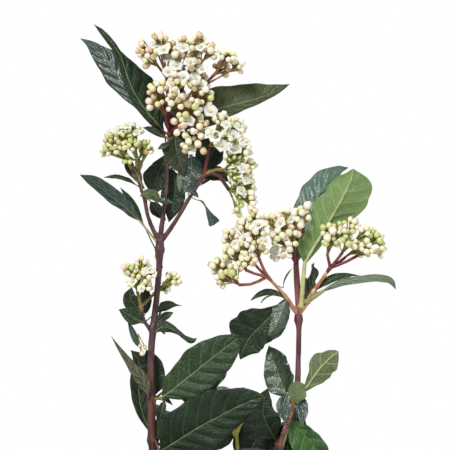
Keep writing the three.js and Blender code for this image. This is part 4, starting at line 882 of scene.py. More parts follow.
def leaf_samples(leaf, root):
    """Places all over a leaf of the part, by which the shoots' leaves keep clear of it."""
    foot = root + np.asarray(leaf["stalk"], float)
    shares = np.arange(1, 11) / 10.5
    centre, normal, side = blade_frame(leaf, foot, shares)
    half = half_width(leaf["width"], shares)[:, None]
    fold = math.radians(leaf.get("fold", LEAF["fold"]))
    found = [centre + side * a * half * math.cos(fold) + normal * abs(a) * half * math.sin(fold)
             for a in (-0.9, -0.45, 0, 0.45, 0.9)]
    return np.concatenate(found)


def places_taken():
    """Places along the limbs and all over the leaves of the part, before the shoots."""
    lines = np.array([curve(limb["line"], i / 30)[0] for limb in LIMBS.values() for i in range(31)])
    leaves = [leaf_samples(leaf, leaf_root(mass, leaf)[0])
              for mass in MASSES.values() for leaf in mass["leaves"]]
    return np.concatenate([lines] + leaves)


def seeded(state):
    """The part's own stream of numbers from 0 to 1."""
    while True:
        state = (state * 1664525 + 1013904223) % 2 ** 32
        yield state / 2 ** 32


def shoot_masses(taken):
    """The short shoots at the foot of the crown, by the part's own seeded rule."""
    stream = seeded(SHOOTS["seed"])
    foot, tip = SHOOTS["foot_radius"], SHOOTS["tip_radius"]
    middle = (foot + tip) / 2 - 2
    low, high = COMPOST_TOP - SHOOTS["sunk"], SHOOTS["tip_height"]
    masses = {}
    for k in range(SHOOTS["count"]):
        bearing = SHOOTS["first_bearing"] + k * 360 / SHOOTS["count"]
        x, y = math.cos(math.radians(bearing)), math.sin(math.radians(bearing))
        twig = [[foot * x, foot * y, low], [middle * x, middle * y, (low + high) / 2],
                [tip * x, tip * y, high + SHOOTS["tip_play"] * (next(stream) - 0.5)]]
        mass = dict(twig=twig, radii=SHOOTS["radii"], leaves=[])
        for i, at in enumerate(SHOOTS["pairs"]):
            for half in (0, 180) * SHOOTS["tries"]:
                angle = math.radians(bearing + 90 * i + SHOOTS["turn_play"] * (next(stream) - 0.5) + half)
                flattest, steepest = SHOOTS["rise"]
                rise = math.radians(flattest + (steepest - flattest) * next(stream))
                shortest, longest = SHOOTS["leaf_length"]
                length = shortest + (longest - shortest) * next(stream)
                flat = math.cos(rise)
                way = np.array([math.cos(angle) * flat, math.sin(angle) * flat, math.sin(rise)])
                leaf = dict(at=at, stalk=way * SHOOTS["stalk"], reach=way * length,
                            width=SHOOTS["width_share"] * length, face=UP)
                samples = leaf_samples(leaf, curve(twig, at)[0])
                level, heights = np.hypot(samples[:, 0], samples[:, 1]), samples[:, 2]
                in_space = (level < SHOOT_SPACE["reach"]).all() and (heights < SHOOT_SPACE["top"]).all() \
                    and (heights > SHOOT_SPACE["over_rim"]).all()
                apart = np.linalg.norm(samples[:, None] - taken[None], axis=2).min()
                if in_space and apart > SHOOT_SPACE["clear_of"] and len(mass["leaves"]) < 2 * (i + 1):
                    mass["leaves"].append(leaf)
                    taken = np.concatenate([taken, samples])
        masses[f"shoot_{k + 1}"] = mass
    return masses


# Flower heads

def bud_shape(rings=6, sides=15):
    """A bud along +Z, 1 unit across, its five folded lobes closed over its tip."""
    verts = [(0, 0, -0.07)]
    for r in range(1, rings + 1):
        rise = math.pi * r / (rings + 1)
        for k in range(sides):
            turn = TURN * k / sides
            lobes = 1 + 0.1 * math.cos(5 * turn) * max(0.0, -math.cos(rise)) * math.sin(rise) ** 0.5
            wide = 0.5 * math.sin(rise) ** 0.85 * (1 - 0.07 * math.cos(rise)) * lobes
            verts.append((wide * math.cos(turn), wide * math.sin(turn), 0.5 - 0.58 * math.cos(rise)))
    return np.array(verts + [(0, 0, 1.05)]), capped_faces(rings, sides)


def flower_shape(steps=8, wide=7):
    """An open flower along +Z, 1 unit across: five rounded lobes round a short tube."""
    verts, faces = [], []
    for petal in range(5):
        turn = TURN * petal / 5
        out = np.array([math.cos(turn), math.sin(turn), 0])
        across = np.array([-math.sin(turn), math.cos(turn), 0])
        for s in range(steps + 1):
            t = math.sin(math.pi / 2 * s / steps) ** 0.9
            reach = 0.07 + 0.43 * t
            span = 0.05 + 0.21 * math.sin(math.pi / 2 * min(t / 0.5, 1))
            span = max(span * math.sqrt(max(1 - (max(t - 0.5, 0) / 0.5) ** 2.4, 0)), 0.03)
            for w in range(wide):
                u = w / (wide - 1) * 2 - 1
                height = 0.1 + 0.16 * math.sin(math.pi * 0.5 * min(t * 1.3, 1)) - 0.1 * t * t
                height += 0.05 * u * u * t
                height += 0.012 * math.sin(5 * u + 9 * t + petal)
                verts.append(out * (reach - 0.07 * u * u * t) + across * span * u + np.array([0, 0, height]))
    top = np.array(verts)
    thick, count = top - np.array([0, 0, 0.035]), len(top)
    for petal in range(5):
        base = petal * (steps + 1) * wide
        cells = [base + s * wide + w for s in range(steps) for w in range(wide - 1)]
        upper = [(i, i + wide, i + wide + 1, i + 1) for i in cells]
        faces += upper + [tuple(i + count for i in reversed(face)) for face in upper]
        rim = [base + w for w in range(wide)] + [base + s * wide + wide - 1 for s in range(1, steps + 1)]
        rim += [base + steps * wide + w for w in range(wide - 2, -1, -1)]
        rim += [base + s * wide for s in range(steps - 1, 0, -1)]
        faces += [(i, j, j + count, i + count) for i, j in zip(rim, rim[1:] + rim[:1])]
    return np.concatenate([top, thick]), faces


BUD_VERTS, BUD_FACES = bud_shape()
BUD_UVS = np.stack([BUD_VERTS[:, 2], BUD_VERTS[:, 0]], -1)
ANTHER_VERTS, ANTHER_FACES = bud_shape(3, 5)
FLOWER_VERTS, FLOWER_FACES = flower_shape()


def sides_of(axis, guide):
    """Two directions square to an axis and to each other."""
    side = unit(np.cross(axis, guide if abs(axis[2]) < 0.9 else [1, 0.2, 0]))
    return side, np.cross(axis, side)


def turned(verts, axis, spin):
    """Verts made along +Z, turned to stand along an axis and spun about it."""
    axis = unit(axis)
    side, up = sides_of(axis, [0.3, 0.2, 1])
    first = side * math.cos(spin) + up * math.sin(spin)
    second = np.cross(axis, first)
    return verts[:, :1] * first + verts[:, 1:2] * second + verts[:, 2:] * axis


def cap_directions(axis, count, spread, turn):
    """Directions dealt out evenly over a cap round an axis, as far as spread degrees from it."""
    axis = unit(axis)
    side, up = sides_of(axis, [0.31, 0.22, 1])
    cap = 1 - math.cos(math.radians(spread))
    found = []
    for k in range(count):
        height = 1 - (k + 0.5) / count * cap
        wide = math.sqrt(max(0.0, 1 - height * height))
        angle = turn + k * math.pi * (3 - math.sqrt(5))
        found.append(axis * height + side * wide * math.cos(angle) + up * wide * math.sin(angle))
    return found


def bent(start, end, sag=(0, 0, 0)):
    middle = (np.asarray(start) + np.asarray(end)) / 2 + np.asarray(sag)
    return [curve([start, middle, end], s)[0] for s in (0, 0.3, 0.6, 1)]


def add_pedicel(rays, foot, end, radii, sides, slot, axis, size):
    """A bud's or flower's thin stalk, and the green calyx of the given size at its end."""
    add_tube(rays, bent(foot, end), radii, sides, slot)
    points = [end - axis * 0.9 * size, end - axis * 0.2 * size, end + axis * 0.55 * size]
    add_tube(rays, points, [radius * size for radius in CALYX], 7, "calyx")


def add_bud(parts, foot, place, axis, size, colour, slot, draw, long=1.0):
    """A bud about a place, on a pedicel from a foot."""
    base = place - axis * size * 0.45 * long
    add_pedicel(parts["rays"], foot, base, BUD_STALK, 5, slot, axis, 1.0 if size > 3 else 0.7)
    verts = turned(BUD_VERTS * [1, 1, long * draw.uniform(0.95, 1.15)], axis, any_turn(draw)) * size
    parts["buds"].add(base + verts, BUD_FACES, f"bud_{colour}", BUD_UVS)


def add_flower(parts, foot, place, axis, size, slot, draw):
    """An open flower about a place, on a pedicel from a foot, with its throat and five stamens."""
    base = place - axis * size * 0.3
    add_pedicel(parts["rays"], foot, base, FLOWER_STALK, 5, slot, axis, 0.9)
    spin = any_turn(draw)
    parts["flowers"].add(base + turned(FLOWER_VERTS, axis, spin) * size, FLOWER_FACES, "petal")
    tube_top = base + axis * size * 0.2
    add_tube(parts["flowers"], [base, base + axis * size * 0.1, tube_top], THROAT, 8, "throat")
    for k in range(5):
        turn = spin + 0.63 + k * TURN / 5
        lean = turned(np.array([[math.cos(turn), math.sin(turn), 0.0]]), axis, 0)[0]
        tip = tube_top + axis * size * 0.2 + lean * size * 0.14
        add_tube(parts["flowers"], bent(tube_top, tip, lean * 0.2), STAMEN, 4, "stamen")
        parts["flowers"].add(tip + turned(ANTHER_VERTS, axis, turn) * 0.6, ANTHER_FACES, "anther")


def knot_count(radius, habit, share):
    """How many buds a knot bears: more on a wide knot, and more where they are small."""
    usual = 3.85 / (sum(habit["sizes"]) / 2)
    return max(3, round((radius + 0.4) ** 2 / 1.8 * usual ** 1.8 * share))


def strayed(draw, reach):
    """A random step of up to reach along each axis."""
    return np.array([draw.uniform(-reach, reach) for _ in range(3)])


def add_flower_head(parts, name, head):
    """A flower head: rays to their knees, forks towards the knots, buds round each knot, and open flowers."""
    draw = random.Random(name)
    habit = {**HABIT, **head}
    main, branch, fine = head["colours"]
    ray_radii, fork_radii = np.array(RAY) * habit["girth"], np.array(FORK) * habit["girth"]
    tip, along = curve(limb_of(head["on"])["line"], 1)
    foot = tip + along * (KNOB_RADIUS + CLEARANCE)
    add_tube(parts["rays"], [tip - along * 1.5, tip + along, foot + along * 0.8], NECK, 10, main)
    knees = [foot + np.array(ray["knee"], float) for ray in head["rays"]]
    placed = []

    def nearest_knee(place):
        return min(knees, key=lambda knee: np.linalg.norm(place - knee))

    def crowded(place, size):
        return any(np.linalg.norm(place - other) < 0.5 * (size + wide) * KNOT["nearest"]
                   for other, wide in placed)

    for x, y, z, size in head.get("flowers", []):
        place = foot + np.array([x, y, z], float)
        knee = nearest_knee(place)
        axis = unit(unit(place - knee) + np.array([-0.3, -1.2 if y < 0 else 0.5, 0.5]))
        add_flower(parts, knee, place, axis, size, fine, draw)
        placed.append((place + axis, size * 0.72))
    for x, y, z, size, colour in head.get("lone_buds", []):
        place = foot + np.array([x, y, z], float)
        knee = nearest_knee(place)
        add_bud(parts, knee, place, unit(place - knee), size, colour, fine, draw)
        placed.append((place, size))
    for r, (ray, knee) in enumerate(zip(head["rays"], knees)):
        out = unit(knee - foot)
        bow = ray.get("bow", -0.04) * np.linalg.norm(knee - foot)
        add_tube(parts["rays"], bent(foot, knee, [0, 0, bow]), ray_radii, 8, ray.get("colour", main))
        for k, (x, y, z, radius) in enumerate(ray["knots"]):
            centre = foot + np.array([x, y, z], float)
            way = unit(centre - knee)
            reach = np.linalg.norm(centre - knee)
            part = habit["part"] * reach if habit["part"] else max(0.35 * reach, reach - 1.5 * radius)
            fork = knee + way * part
            add_tube(parts["rays"], bent(knee - out * 0.3, fork), fork_radii, 6, branch)
            if radius < KNOT["least"]:
                continue
            facing = unit(way + 0.5 * unit(centre - foot) + np.array([0, 0, 0.15]))
            spread = radius * (0.96 if radius > 3 else 0.7)
            count = knot_count(radius, habit, ray.get("share", habit["share"]))
            for spot in cap_directions(facing, count, KNOT["cap"], 1.7 * k + r):
                stray = strayed(draw, KNOT["stray"])
                axis = unit(spot + 0.45 * facing + stray)
                place = centre + unit(spot + stray) * spread * draw.uniform(*KNOT["depth"]) - facing * 0.5
                size = draw.uniform(*habit["sizes"])
                if k in ray.get("bare", ()):
                    add_bud(parts, fork, place, axis, size * KNOT["bare"], "green", fine, draw, 1.4)
                    continue
                if crowded(place, size):
                    continue
                colour = draw.choices(BUD_COLOURS, head["mix"])[0]
                add_bud(parts, fork, place, axis, size, colour, fine, draw, habit["long"])
                placed.append((place, size))
            for _ in range(habit["stubs"]):
                spot = unit(facing + strayed(draw, 0.9))
                end = centre + spot * radius * draw.uniform(0.3, 0.7)
                add_pedicel(parts["rays"], fork, end, STUB, 4, fine, spot, 0.75)


# Wood

def wood_tube(skin, line, radii, sides, bulges=(), back=0.0):
    """A limb's tube with its swellings, as heights, begun a little back inside what carries it."""
    length = sum(np.linalg.norm(np.subtract(b, a)) for a, b in zip(line, line[1:]))
    shares = np.linspace(0, 1, max(6, int(length / 1.2)) + 1)
    points = [curve(line, s)[0] for s in shares]
    sizes = [mixed(radii, s) for s in shares]
    if back:
        points.insert(0, points[0] - curve(line, 0)[1] * back)
        sizes.insert(0, sizes[0])
    points.append(points[-1] + curve(line, 1)[1] * 0.6)
    sizes.append(sizes[-1] * 0.6)
    for height in bulges:
        for i, point in enumerate(points):
            sizes[i] += COLLAR_SWELL * math.exp(-((point[2] - height) / COLLAR_REACH) ** 2)
    skin.add(tube_rings(points, sizes, sides), tube_faces(len(points), sides), "bark_brown")


def apply_modifiers(piece):
    """Gives a piece the mesh that its modifiers make."""
    mesh = bpy.data.meshes.new_from_object(piece.evaluated_get(bpy.context.evaluated_depsgraph_get()))
    piece.modifiers.clear()
    old = piece.data
    piece.data = mesh
    bpy.data.meshes.remove(old)


def fuse(piece):
    """One closed skin over the limbs, with their forks rounded."""
    remesh = piece.modifiers.new("fuse", "REMESH")
    remesh.mode, remesh.voxel_size = "VOXEL", WOOD_VOXEL * MM
    soften = piece.modifiers.new("soften", "SMOOTH")
    soften.factor, soften.iterations = 0.5, 5
    apply_modifiers(piece)


def read_vectors(items, key):
    values = np.empty(len(items) * 3)
    items.foreach_get(key, values)
    return values.reshape(-1, 3)


def roughen_bark(mesh, depth=0.22):
    """Bark relief: ridges along the wood and low warts."""
    places, normals = read_vectors(mesh.vertices, "co"), read_vectors(mesh.vertices, "normal")
    for i, (x, y, z) in enumerate(places * 1000):
        ridge = noise.noise(Vector((x * 1.3, y * 1.3, z * 0.12)))
        wart = max(0.0, noise.noise(Vector((x * 0.9 + 7, y * 0.9, z * 0.8))) - 0.32)
        places[i] += normals[i] * depth * MM * (0.55 * ridge + 1.6 * wart)
    mesh.vertices.foreach_set("co", places.ravel())
    mesh.update()


def nearest_limb(centres, names):
    """Which limb each place is nearest to."""
    best, owner = np.full(len(centres), 1e9), np.zeros(len(centres), int)
    for n, name in enumerate(names):
        limb = limb_of(name)
        for share in np.linspace(0, 1, 50):
            middle = curve(limb["line"], share)[0]
            gap = np.linalg.norm(centres - middle, axis=1) - mixed(limb["radii"], share)
            closer = gap < best
            best[closer], owner[closer] = gap[closer], n
    return owner


def bark_at(name, height):
    """The bark of a limb at a height."""
    tone, *bands = LIMB_BARK.get(name, ("bark_olive" if name in SHOOT_MASSES else "bark_purple",))
    for low, high, bark in bands:
        if low < height < high:
            tone = bark
    return tone


def make_wood():
    """Stems, boughs and twigs as one skin with bark relief."""
    skin = Skin()
    for name, limb in LIMBS.items():
        collars = [mass["collar"][1] for mass in MASSES.values() if mass.get("collar", ("",))[0] == name]
        back = BOUGH_BACK if name.startswith("bough") else 0.0
        wood_tube(skin, limb["line"], limb["radii"], 16, collars, back)
    twigs = [name for name, mass in MASSES.items() if "twig" in mass]
    for name in twigs:
        twig = limb_of(name)
        wood_tube(skin, twig["line"], twig["radii"], 12, back=0.0 if name in SHOOT_MASSES else TWIG_BACK)
    for fork in FORKS:
        wood_tube(skin, fork, (1.1, 0.9), 10)
    wood = skin.build("wood", "bark", list(LIMBS))
    fuse(wood)
    roughen_bark(wood.data)
    centres = read_vectors(wood.data.polygons, "center") * 1000
    jitter = np.random.default_rng(5).normal(0, 1, len(centres))
    names = list(LIMBS) + twigs
    owners = nearest_limb(centres, names)
    set_slots(wood.data, [bark_at(names[owner], centre[2] + 4 * shake)
                          for owner, centre, shake in zip(owners, centres, jitter)])
    wood.data.update()


# Materials

def linear(code):
    """The linear colour of a hex code."""
    channels = [int(code[i:i + 2], 16) / 255 for i in (1, 3, 5)]
    return [c / 12.92 if c <= 0.04045 else ((c + 0.055) / 1.055) ** 2.4 for c in channels] + [1.0]


def shaded(colour, factor):
    return [min(c * factor, 1.0) for c in colour[:3]] + [1.0]


class Graph:
    """A material's node tree, built up from its Principled shader, and kept by its name in MATERIALS."""

    def __init__(self, name, roughness, specular=0.5):
        material = MATERIALS[name] = bpy.data.materials.new(name)
        material.use_nodes = True
        self.nodes, self.links = material.node_tree.nodes, material.node_tree.links
        self.shader = self.nodes["Principled BSDF"]
        self.shader.inputs["Roughness"].default_value = roughness
        self.shader.inputs["Specular IOR Level"].default_value = specular
        self.place = self.coordinate("Object")

    def feed(self, socket, value):
        """Links a socket to another node's output, or sets its own value."""
        if isinstance(value, bpy.types.NodeSocket):
            self.links.new(value, socket)
        else:
            socket.default_value = value

    def node(self, kind, settings=(), **inputs):
        node = self.nodes.new(kind)
        for key, value in dict(settings).items():
            setattr(node, key, value)
        for key, value in inputs.items():
            self.feed(node.inputs[key.replace("_", " ")], value)
        return node

    def coordinate(self, kind):
        return self.node("ShaderNodeTexCoord").outputs[kind]

    def channel(self, vector, axis):
        return self.node("ShaderNodeSeparateXYZ", Vector=vector).outputs[axis]

    def stretched(self, scale):
        return self.node("ShaderNodeMapping", Vector=self.place, Scale=scale).outputs["Vector"]

    def noise(self, scale, detail=3, stretch=None):
        vector = self.stretched(stretch) if stretch else self.place
        return self.node("ShaderNodeTexNoise", Vector=vector, Scale=scale, Detail=detail).outputs["Fac"]

    def cells(self, scale):
        return self.node("ShaderNodeTexVoronoi", dict(feature="DISTANCE_TO_EDGE"),
                         Vector=self.place, Scale=scale).outputs["Distance"]

    def ramp(self, value, low, high, start=0.0, end=1.0):
        limits = dict(From_Min=low, From_Max=high, To_Min=start, To_Max=end)
        return self.node("ShaderNodeMapRange", Value=value, **limits).outputs["Result"]

    def maths(self, operation, first, second=0.0):
        node = self.node("ShaderNodeMath", dict(operation=operation))
        for socket, value in zip(node.inputs, (first, second)):
            self.feed(socket, value)
        return node.outputs["Value"]

    def blend(self, factor, first, second):
        node = self.node("ShaderNodeMix", dict(data_type="RGBA"))
        for socket, value in zip((node.inputs[0], node.inputs[6], node.inputs[7]), (factor, first, second)):
            self.feed(socket, value)
        return node.outputs[2]

    def mottled(self, colour, spread, scale, detail=3, stretch=None):
        speckle = self.ramp(self.noise(scale, detail, stretch), 0.32, 0.68)
        return self.blend(speckle, shaded(colour, 1 - spread), shaded(colour, 1 + spread))

    def colour(self, value):
        self.feed(self.shader.inputs["Base Color"], value)

    def bump(self, height, depth, strength):
        node = self.node("ShaderNodeBump", Strength=strength, Distance=depth * MM, Height=height)
        self.links.new(node.outputs["Normal"], self.shader.inputs["Normal"])

    def rough(self, value, low, high):
        self.links.new(self.ramp(value, 0.3, 0.7, low, high), self.shader.inputs["Roughness"])

    def glow(self, share, colour):
        """Lets a share of the light through a thin blade or petal."""
        through = self.node("ShaderNodeBsdfTranslucent", Color=colour)
        mix = self.node("ShaderNodeMixShader", Fac=share)
        self.links.new(self.shader.outputs["BSDF"], mix.inputs[1])
        self.links.new(through.outputs["BSDF"], mix.inputs[2])
        self.links.new(mix.outputs["Shader"], self.nodes["Material Output"].inputs["Surface"])


def leaf_material(name, tone, vein, roughness, vein_share, net, specular=0.4, grain=0.3):
    """A leathery blade. The UV's first channel counts the side veins; its second runs across the blade."""
    graph = Graph(name, roughness, specular)
    part = graph.maths("FRACT", graph.channel(graph.coordinate("UV"), "X"))
    near = graph.maths("ABSOLUTE", graph.maths("SUBTRACT", part, 0.5))
    line = graph.ramp(near, 0.42, 0.49, 0.0, vein_share)
    network = graph.cells(520)
    web = graph.ramp(network, 0.0, 0.1, net, 0.0)
    base = graph.mottled(linear(tone), 0.2, 55)
    patches = graph.ramp(graph.noise(320, 4), 0.45, 0.75, 0.0, 0.35)
    patchy = graph.blend(patches, base, shaded(linear(tone), 1.6))
    veined = graph.blend(line, patchy, linear(vein))
    graph.colour(graph.blend(web, veined, linear(vein)))
    graph.rough(graph.noise(240), roughness - 0.05, roughness + 0.12)
    fine = graph.maths("MULTIPLY", graph.ramp(graph.cells(1200), 0.0, 0.3), 0.35)
    height = graph.maths("ADD", graph.maths("MULTIPLY", graph.ramp(network, 0.0, 0.22), 0.8), fine)
    graph.bump(graph.maths("ADD", height, graph.maths("MULTIPLY", graph.noise(600), 0.6)), grain, 0.6)
    graph.glow(0.12, shaded(linear(vein), 0.8))


def bud_material(name, tone, foot, tip):
    """A waxy bud, greener at its foot and tinted at the tip."""
    graph = Graph(name, 0.42)
    height = graph.channel(graph.coordinate("UV"), "X")
    body = graph.mottled(linear(tone), 0.07, 260)
    lower = graph.blend(graph.ramp(height, 0.0, 0.55, 0.95, 0.0), body, linear(foot))
    graph.colour(graph.blend(graph.ramp(height, 0.86, 1.04, 0.0, 0.8), lower, linear(tip)))
    graph.rough(graph.noise(600, 2), 0.36, 0.5)
    graph.bump(graph.noise(1100), 0.06, 0.5)
    graph.shader.inputs["Subsurface Weight"].default_value = 0.12
    graph.shader.inputs["Subsurface Scale"].default_value = 0.001
    graph.shader.inputs["Subsurface Radius"].default_value = (1.0, 0.8, 0.5)


def petal_material(name):
    """A white petal that lets light through."""
    graph = Graph(name, 0.5)
    graph.colour(graph.mottled(linear("#fbfaf6"), 0.04, 300))
    graph.bump(graph.noise(900), 0.08, 0.5)
    graph.glow(0.4, (0.97, 0.96, 0.93, 1.0))


def plain_material(name, tone, roughness, spread, scale, depth, stretch=None, specular=0.5):
    """A mottled surface with a fine grain."""
    graph = Graph(name, roughness, specular)
    graph.colour(graph.mottled(linear(tone), spread, scale, 4, stretch))
    graph.rough(graph.noise(scale * 2), roughness - 0.06, roughness + 0.08)
    graph.bump(graph.noise(scale * 3, 4, stretch), depth, 0.6)


def bark_material(name, tone, streak, roughness=0.5):
    """Young bark, streaked along the stem and dotted with pale lenticels."""
    graph = Graph(name, roughness)
    along = (1.0, 1.0, 0.16)
    base = graph.blend(graph.ramp(graph.noise(420, 4, along), 0.38, 0.66), linear(tone), linear(streak))
    dots = graph.node("ShaderNodeTexVoronoi", Vector=graph.stretched((1.0, 1.0, 0.5)), Scale=520.0)
    warts = graph.ramp(dots.outputs["Distance"], 0.1, 0.19, 0.55, 0.0)
    graph.colour(graph.blend(warts, base, shaded(linear(streak), 1.7)))
    graph.rough(graph.noise(300), roughness - 0.08, roughness + 0.14)
    height = graph.maths("ADD", graph.noise(900, 4, along), graph.maths("MULTIPLY", warts, 0.9))
    graph.bump(height, 0.25, 0.7)


def clay_material(name):
    """Fired clay with a pale bloom towards the foot and fine throwing marks."""
    graph = Graph(name, 0.82, 0.3)
    clay = graph.mottled(linear("#b0623f"), 0.14, 28, 6)
    foot = graph.ramp(graph.channel(graph.place, "Z"), 0.0, 0.09, 0.75, 0.25)
    cloud = graph.maths("MULTIPLY", graph.ramp(graph.noise(22, 6), 0.42, 0.72), foot)
    bloomed = graph.blend(cloud, clay, linear("#d0a387"))
    grit = graph.ramp(graph.noise(1500, 2), 0.62, 0.72, 0.0, 0.4)
    graph.colour(graph.blend(grit, bloomed, linear("#7d4129")))
    rings = graph.noise(260, 3, (0.05, 0.05, 1.0))
    graph.bump(graph.maths("ADD", rings, graph.maths("MULTIPLY", graph.noise(1300, 4), 0.7)), 0.35, 0.6)


def make_materials():
    """Every material of the plant, pot and compost; each leaf tone has its blade's faces, ribs and stalk."""
    for tone, (top, vein, under) in LEAF_TONES.items():
        rib_under, stalk = (tones.get(tone, tones["other"]) for tones in (RIBS_UNDER, STALKS))
        leaf_material(f"leaf_{tone}", top, vein, **(GLOSS if tone in GLOSSY else SATIN))
        leaf_material(f"under_{tone}", under, **BACK)
        plain_material(f"rib_{tone}", RIB, 0.42, 0.12, 200, 0.1)
        plain_material(f"rib_under_{tone}", rib_under, 0.5, 0.12, 200, 0.1)
        plain_material(f"stalk_{tone}", stalk, 0.45, 0.2, 260, 0.15)
    for name, tones in BARKS.items():
        bark_material(name, *tones)
    for name, looks in FLOWER_PLAINS.items():
        plain_material(name, *looks, 500, 0.08)
    for name, tones in BUDS.items():
        bud_material(name, *tones)
    for name, looks in SOILS.items():
        plain_material(name, *looks)
    petal_material("petal")
    clay_material("clay")


# The scene

def set_camera():
    scene = bpy.context.scene
    data = bpy.data.cameras.new("camera")
    camera = bpy.data.objects.new("camera", data)
    scene.collection.objects.link(camera)
    camera.location = CAMERA["place"]
    camera.rotation_euler = (math.radians(90), 0, 0)
    data.lens, data.sensor_width = CAMERA["lens"], CAMERA["sensor"]
    data.clip_start, data.clip_end = 0.05, 50
    scene.camera = camera
    scene.view_settings.view_transform = "Standard"


def set_lights():
    """A soft white studio: a bright backdrop for the camera, a paler dome for the plant, and soft boxes."""
    world = bpy.data.worlds.new("studio")
    bpy.context.scene.world = world
    world.use_nodes = True
    nodes, links = world.node_tree.nodes, world.node_tree.links
    dome, backdrop = nodes["Background"], nodes.new("ShaderNodeBackground")
    for light, (colour, strength) in ((dome, DOME), (backdrop, BACKDROP)):
        light.inputs["Color"].default_value, light.inputs["Strength"].default_value = colour, strength
    path, mix = nodes.new("ShaderNodeLightPath"), nodes.new("ShaderNodeMixShader")
    links.new(path.outputs["Is Camera Ray"], mix.inputs["Fac"])
    links.new(dome.outputs["Background"], mix.inputs[1])
    links.new(backdrop.outputs["Background"], mix.inputs[2])
    links.new(mix.outputs["Shader"], nodes["World Output"].inputs["Surface"])
    for name, place, size, power, tint in SOFT_BOXES:
        data = bpy.data.lights.new(name, "AREA")
        data.shape, data.size, data.energy, data.color = "DISK", size, power, tint
        light = bpy.data.objects.new(name, data)
        bpy.context.scene.collection.objects.link(light)
        light.location = place
        light.rotation_euler = (Vector(LIGHTS_AIM) - Vector(place)).to_track_quat("-Z", "Y").to_euler()


def make_floor():
    """A white floor that fades out before its edge."""
    mesh = bpy.data.meshes.new("floor")
    ring = [(FLOOR["radius"] * x, FLOOR["radius"] * y, 0) for x, y in around(FLOOR["sides"])]
    mesh.from_pydata(ring, [], [tuple(range(len(ring)))])
    graph = Graph("floor_white", 0.9, 0.1)
    graph.colour((0.93, 0.93, 0.93, 1))
    radius = graph.node("ShaderNodeVectorMath", dict(operation="LENGTH"))
    graph.links.new(graph.place, radius.inputs[0])
    fade = graph.ramp(radius.outputs["Value"], *FLOOR["fade"], 1.0, 0.0)
    graph.links.new(fade, graph.shader.inputs["Alpha"])
    mesh.materials.append(MATERIALS["floor_white"])
    floor = bpy.data.objects.new("floor", mesh)
    bpy.context.scene.collection.objects.link(floor)


def make_leaves():
    """The blades, mass by mass, in pieces small enough for one mesh each."""
    groups = {
        "leaves_left_upper": [f"leaves_left_{part}" for part in ("fork", "top", "west", "east")],
        "leaves_left_lower": [f"leaves_left_{part}" for part in ("foot", "base", "low", "middle")],
        "leaves_right": [name for name in MASSES if name.startswith("leaves_right")],
        "leaves_low": ["leaves_back", *SHOOT_MASSES],
    }
    for piece, names in groups.items():
        skin = Skin()
        for name in names:
            mass = MASSES[name]
            draw = random.Random(name)
            for leaf in mass["leaves"] + [{**SMALL_BLADE, **leaf} for leaf in mass.get("extra", [])]:
                tone = leaf["tone"] if "tone" in leaf else "dm"[draw.random() < 0.4]
                whole = {**leaf, **leaf.get("fine", {})}
                add_leaf(skin, whole, *leaf_root(mass, whole), tone, draw)
        skin.build(piece, "leaf", names)


def make_flower_heads():
    """All the flower heads as three pieces, and the three hanging buds."""
    parts = {"rays": Skin(), "buds": Skin(), "flowers": Skin()}
    for name, head in FLOWER_HEADS.items():
        add_flower_head(parts, name, head)
    draw = random.Random(3)
    for x, y, z, size, colour in HANGING_BUDS:
        add_bud(parts, np.array(HANGING_FOOT), np.array([x, y, z]), unit([0.3, -0.3, -0.9]), size, colour,
                "pedicel_green", draw)
    for key, piece in (("rays", "flower_rays"), ("buds", "flower_buds"), ("flowers", "open_flowers")):
        parts[key].build(piece, "blossom", list(FLOWER_HEADS))


def pot_profile():
    """The pot's section from the middle of its base round to the middle of its floor, radius by height."""
    base, rim, top, floor = POT["base_radius"], POT["rim_radius"], POT["height"], POT["floor"]
    under = top - POT["rim_height"]

    def outer(z):
        return base + (POT["shoulder_radius"] - base) * z / under

    def inner(z):
        return POT["inner_radius"] + POT["inner_flare"] * (z - floor) / (top - floor)

    points = [(0, 0), (base - 2.4, 0), (base - 0.8, 0.5), (base + 0.1, 1.8)]
    points += [(outer(z), z) for z in np.linspace(4, under - 1, 24)]
    points += [(outer(under) + 0.6, under - 0.2), (rim - 3.6, under + 0.1), (rim - 1.6, under + 0.9),
               (rim - 0.9, under + 2.4)]
    points += [(rim - 0.9 + 0.9 * (z - under) / 18, z) for z in np.linspace(under + 5, top - 3, 6)]
    points += [(rim - 0.3, top - 1.4), (rim - 1.4, top - 0.4), (rim - 3.0, top)]
    points += [(inner(top) + 1.6, top - 0.2)]
    points += [(inner(z), z) for z in np.linspace(top - 2, floor + 2, 20)]
    return points + [(inner(floor) - 1.5, floor + 0.3), (inner(floor) - 4, floor), (0, floor)]


def lathe(skin, profile, sides, slot):
    """Turns a profile round Z; where its radius is 0 it closes in one vertex."""
    verts, faces, starts = [], [], []
    for radius, z in profile:
        starts.append(len(verts))
        verts += [(radius * x, radius * y, z) for x, y in around(sides)] if radius else [(0, 0, z)]
    for r, (a, b) in enumerate(zip(starts, starts[1:])):
        if profile[r][0] == 0:
            faces += fan(a, b, sides)
        elif profile[r + 1][0] == 0:
            faces += flipped(fan(b, a, sides))
        else:
            faces += band(a, b, sides)
    skin.add(verts, faces, slot)


